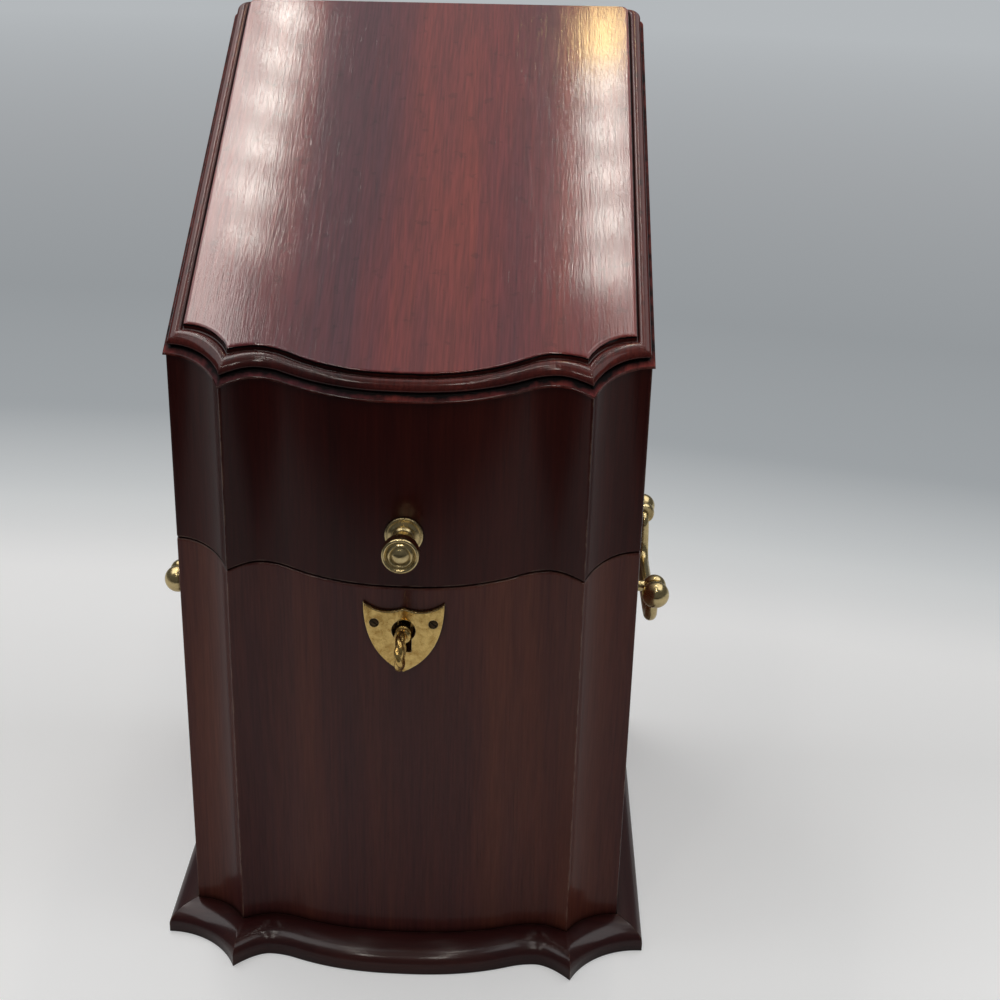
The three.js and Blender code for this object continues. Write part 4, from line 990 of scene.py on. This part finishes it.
# lights: a broad ceiling behind, a strip and a row of bulbs on each side that the lid top mirrors, a warm pair
# behind them, and bulbs further forward for the fronts and the brass
lamps = {
    "ceilingMiddle": {"place": (0.0, 0.85, 2.2), "size": (1.2, 2.0), "watts": 4.0, "colour": (1.0, 1.0, 1.0)},
    "ceilingLeft": {"place": (-1.35, 0.85, 2.2), "size": (1.5, 3.1), "watts": 21.0, "colour": (1.0, 1.0, 1.0)},
    "ceilingRight": {"place": (1.35, 0.85, 2.2), "size": (1.5, 3.1), "watts": 18.0, "colour": (1.0, 1.0, 1.0)},
    "leftStrip": {"place": (-0.355, 0.42, 1.5), "size": (0.12, 0.62), "watts": 1.2, "colour": (1.0, 0.92, 0.88)},
    "rightStrip": {"place": (0.190, 0.40, 1.5), "size": (0.06, 0.50), "watts": 0.29, "colour": (1.0, 0.94, 0.90)},
}
bulbRows = {
    "bulbLeft": {"from": (-0.250, 0.64, 1.5), "to": (-0.292, 0.36, 1.5), "bulbs": 6, "size": 0.03, "watts": 0.075},
    "bulbRight": {"from": (0.134, 0.56, 1.5), "to": (0.143, 0.33, 1.5), "bulbs": 5, "size": 0.03, "watts": 0.075},
    "frontLeft": {"from": (-0.31, -0.15, 1.5), "to": (-0.36, -0.95, 1.5), "bulbs": 4, "size": 0.06, "watts": 0.24},
    "frontRight": {"from": (0.15, -0.15, 1.5), "to": (0.17, -0.95, 1.5), "bulbs": 4, "size": 0.06, "watts": 0.24},
    "frontPair": {"from": (-0.33, -0.85, 1.5), "to": (0.11, -0.85, 1.5), "bulbs": 2, "size": 0.10, "watts": 0.55},
    "lampBack": {"from": (0.132, 0.605, 1.5), "to": (0.134, 0.635, 1.5), "bulbs": 2, "size": 0.035, "watts": 0.09,
                 "colour": (1.0, 0.72, 0.30)},
}
bulbColour = (1.0, 0.96, 0.88)


def addLamp(name, place, size, watts, colour):
    # an area lamp that faces straight down
    light = bpy.data.lights.new(name, "AREA")
    light.shape = "RECTANGLE"
    light.size, light.size_y = size
    light.energy, light.color = watts, colour
    lamp = bpy.data.objects.new(name, light)
    bpy.context.scene.collection.objects.link(lamp)
    lamp.location = place


for name, lamp in lamps.items():
    addLamp(name, lamp["place"], lamp["size"], lamp["watts"], lamp["colour"])
for name, row in bulbRows.items():
    for i in range(row["bulbs"]):
        place = Vector(row["from"]).lerp(Vector(row["to"]), i / (row["bulbs"] - 1))
        addLamp(f"{name}{i}", place, (row["size"],) * 2, row["watts"], row.get("colour", bulbColour))

world = bpy.data.worlds.new("studio")
bpy.context.scene.world = world
world.use_nodes = True
skyLook = {"colour": (0.95, 0.975, 1.0, 1.0), "light": 0.09, "seen": 0.50}      # dim as light, pale to the camera
sky = world.node_tree.nodes["Background"]
sky.inputs["Color"].default_value = skyLook["colour"]
skyPath = addNode(world.node_tree, "ShaderNodeLightPath")
skyLevel = ranged(world.node_tree, skyPath.outputs["Is Camera Ray"], 0, 1, skyLook["light"], skyLook["seen"])
world.node_tree.links.new(skyLevel, sky.inputs["Strength"])
print("set and lights placed")

# camera at the photograph's place
cameraLook = {
    "place": (0.0451, -0.6875, 0.4842), "yaw": 2.30, "pitch": 23.78, "roll": -0.91, "lens": 58.03, "sensor": 36.0,
    "shift": (0.043, 0.0066),
}


def makeCamera():
    yaw, pitch, roll = (math.radians(cameraLook[key]) for key in ("yaw", "pitch", "roll"))
    ahead = Vector((-math.sin(yaw) * math.cos(pitch), math.cos(yaw) * math.cos(pitch), -math.sin(pitch)))
    right = Vector((math.cos(yaw), math.sin(yaw), 0))
    down = -right.cross(ahead)
    turnedRight = right * math.cos(roll) + down * math.sin(roll)
    turnedDown = down * math.cos(roll) - right * math.sin(roll)
    data = bpy.data.cameras.new("photoCamera")
    data.sensor_width, data.lens = cameraLook["sensor"], cameraLook["lens"]
    data.shift_x, data.shift_y = cameraLook["shift"]
    camera = bpy.data.objects.new("photoCamera", data)
    bpy.context.scene.collection.objects.link(camera)
    turn = Matrix((turnedRight, -turnedDown, -ahead)).transposed().to_4x4()
    camera.matrix_world = Matrix.Translation(cameraLook["place"]) @ turn
    bpy.context.scene.camera = camera


makeCamera()
bpy.context.scene.view_settings.view_transform = "Standard"
bpy.context.view_layer.update()
print("scene ready")
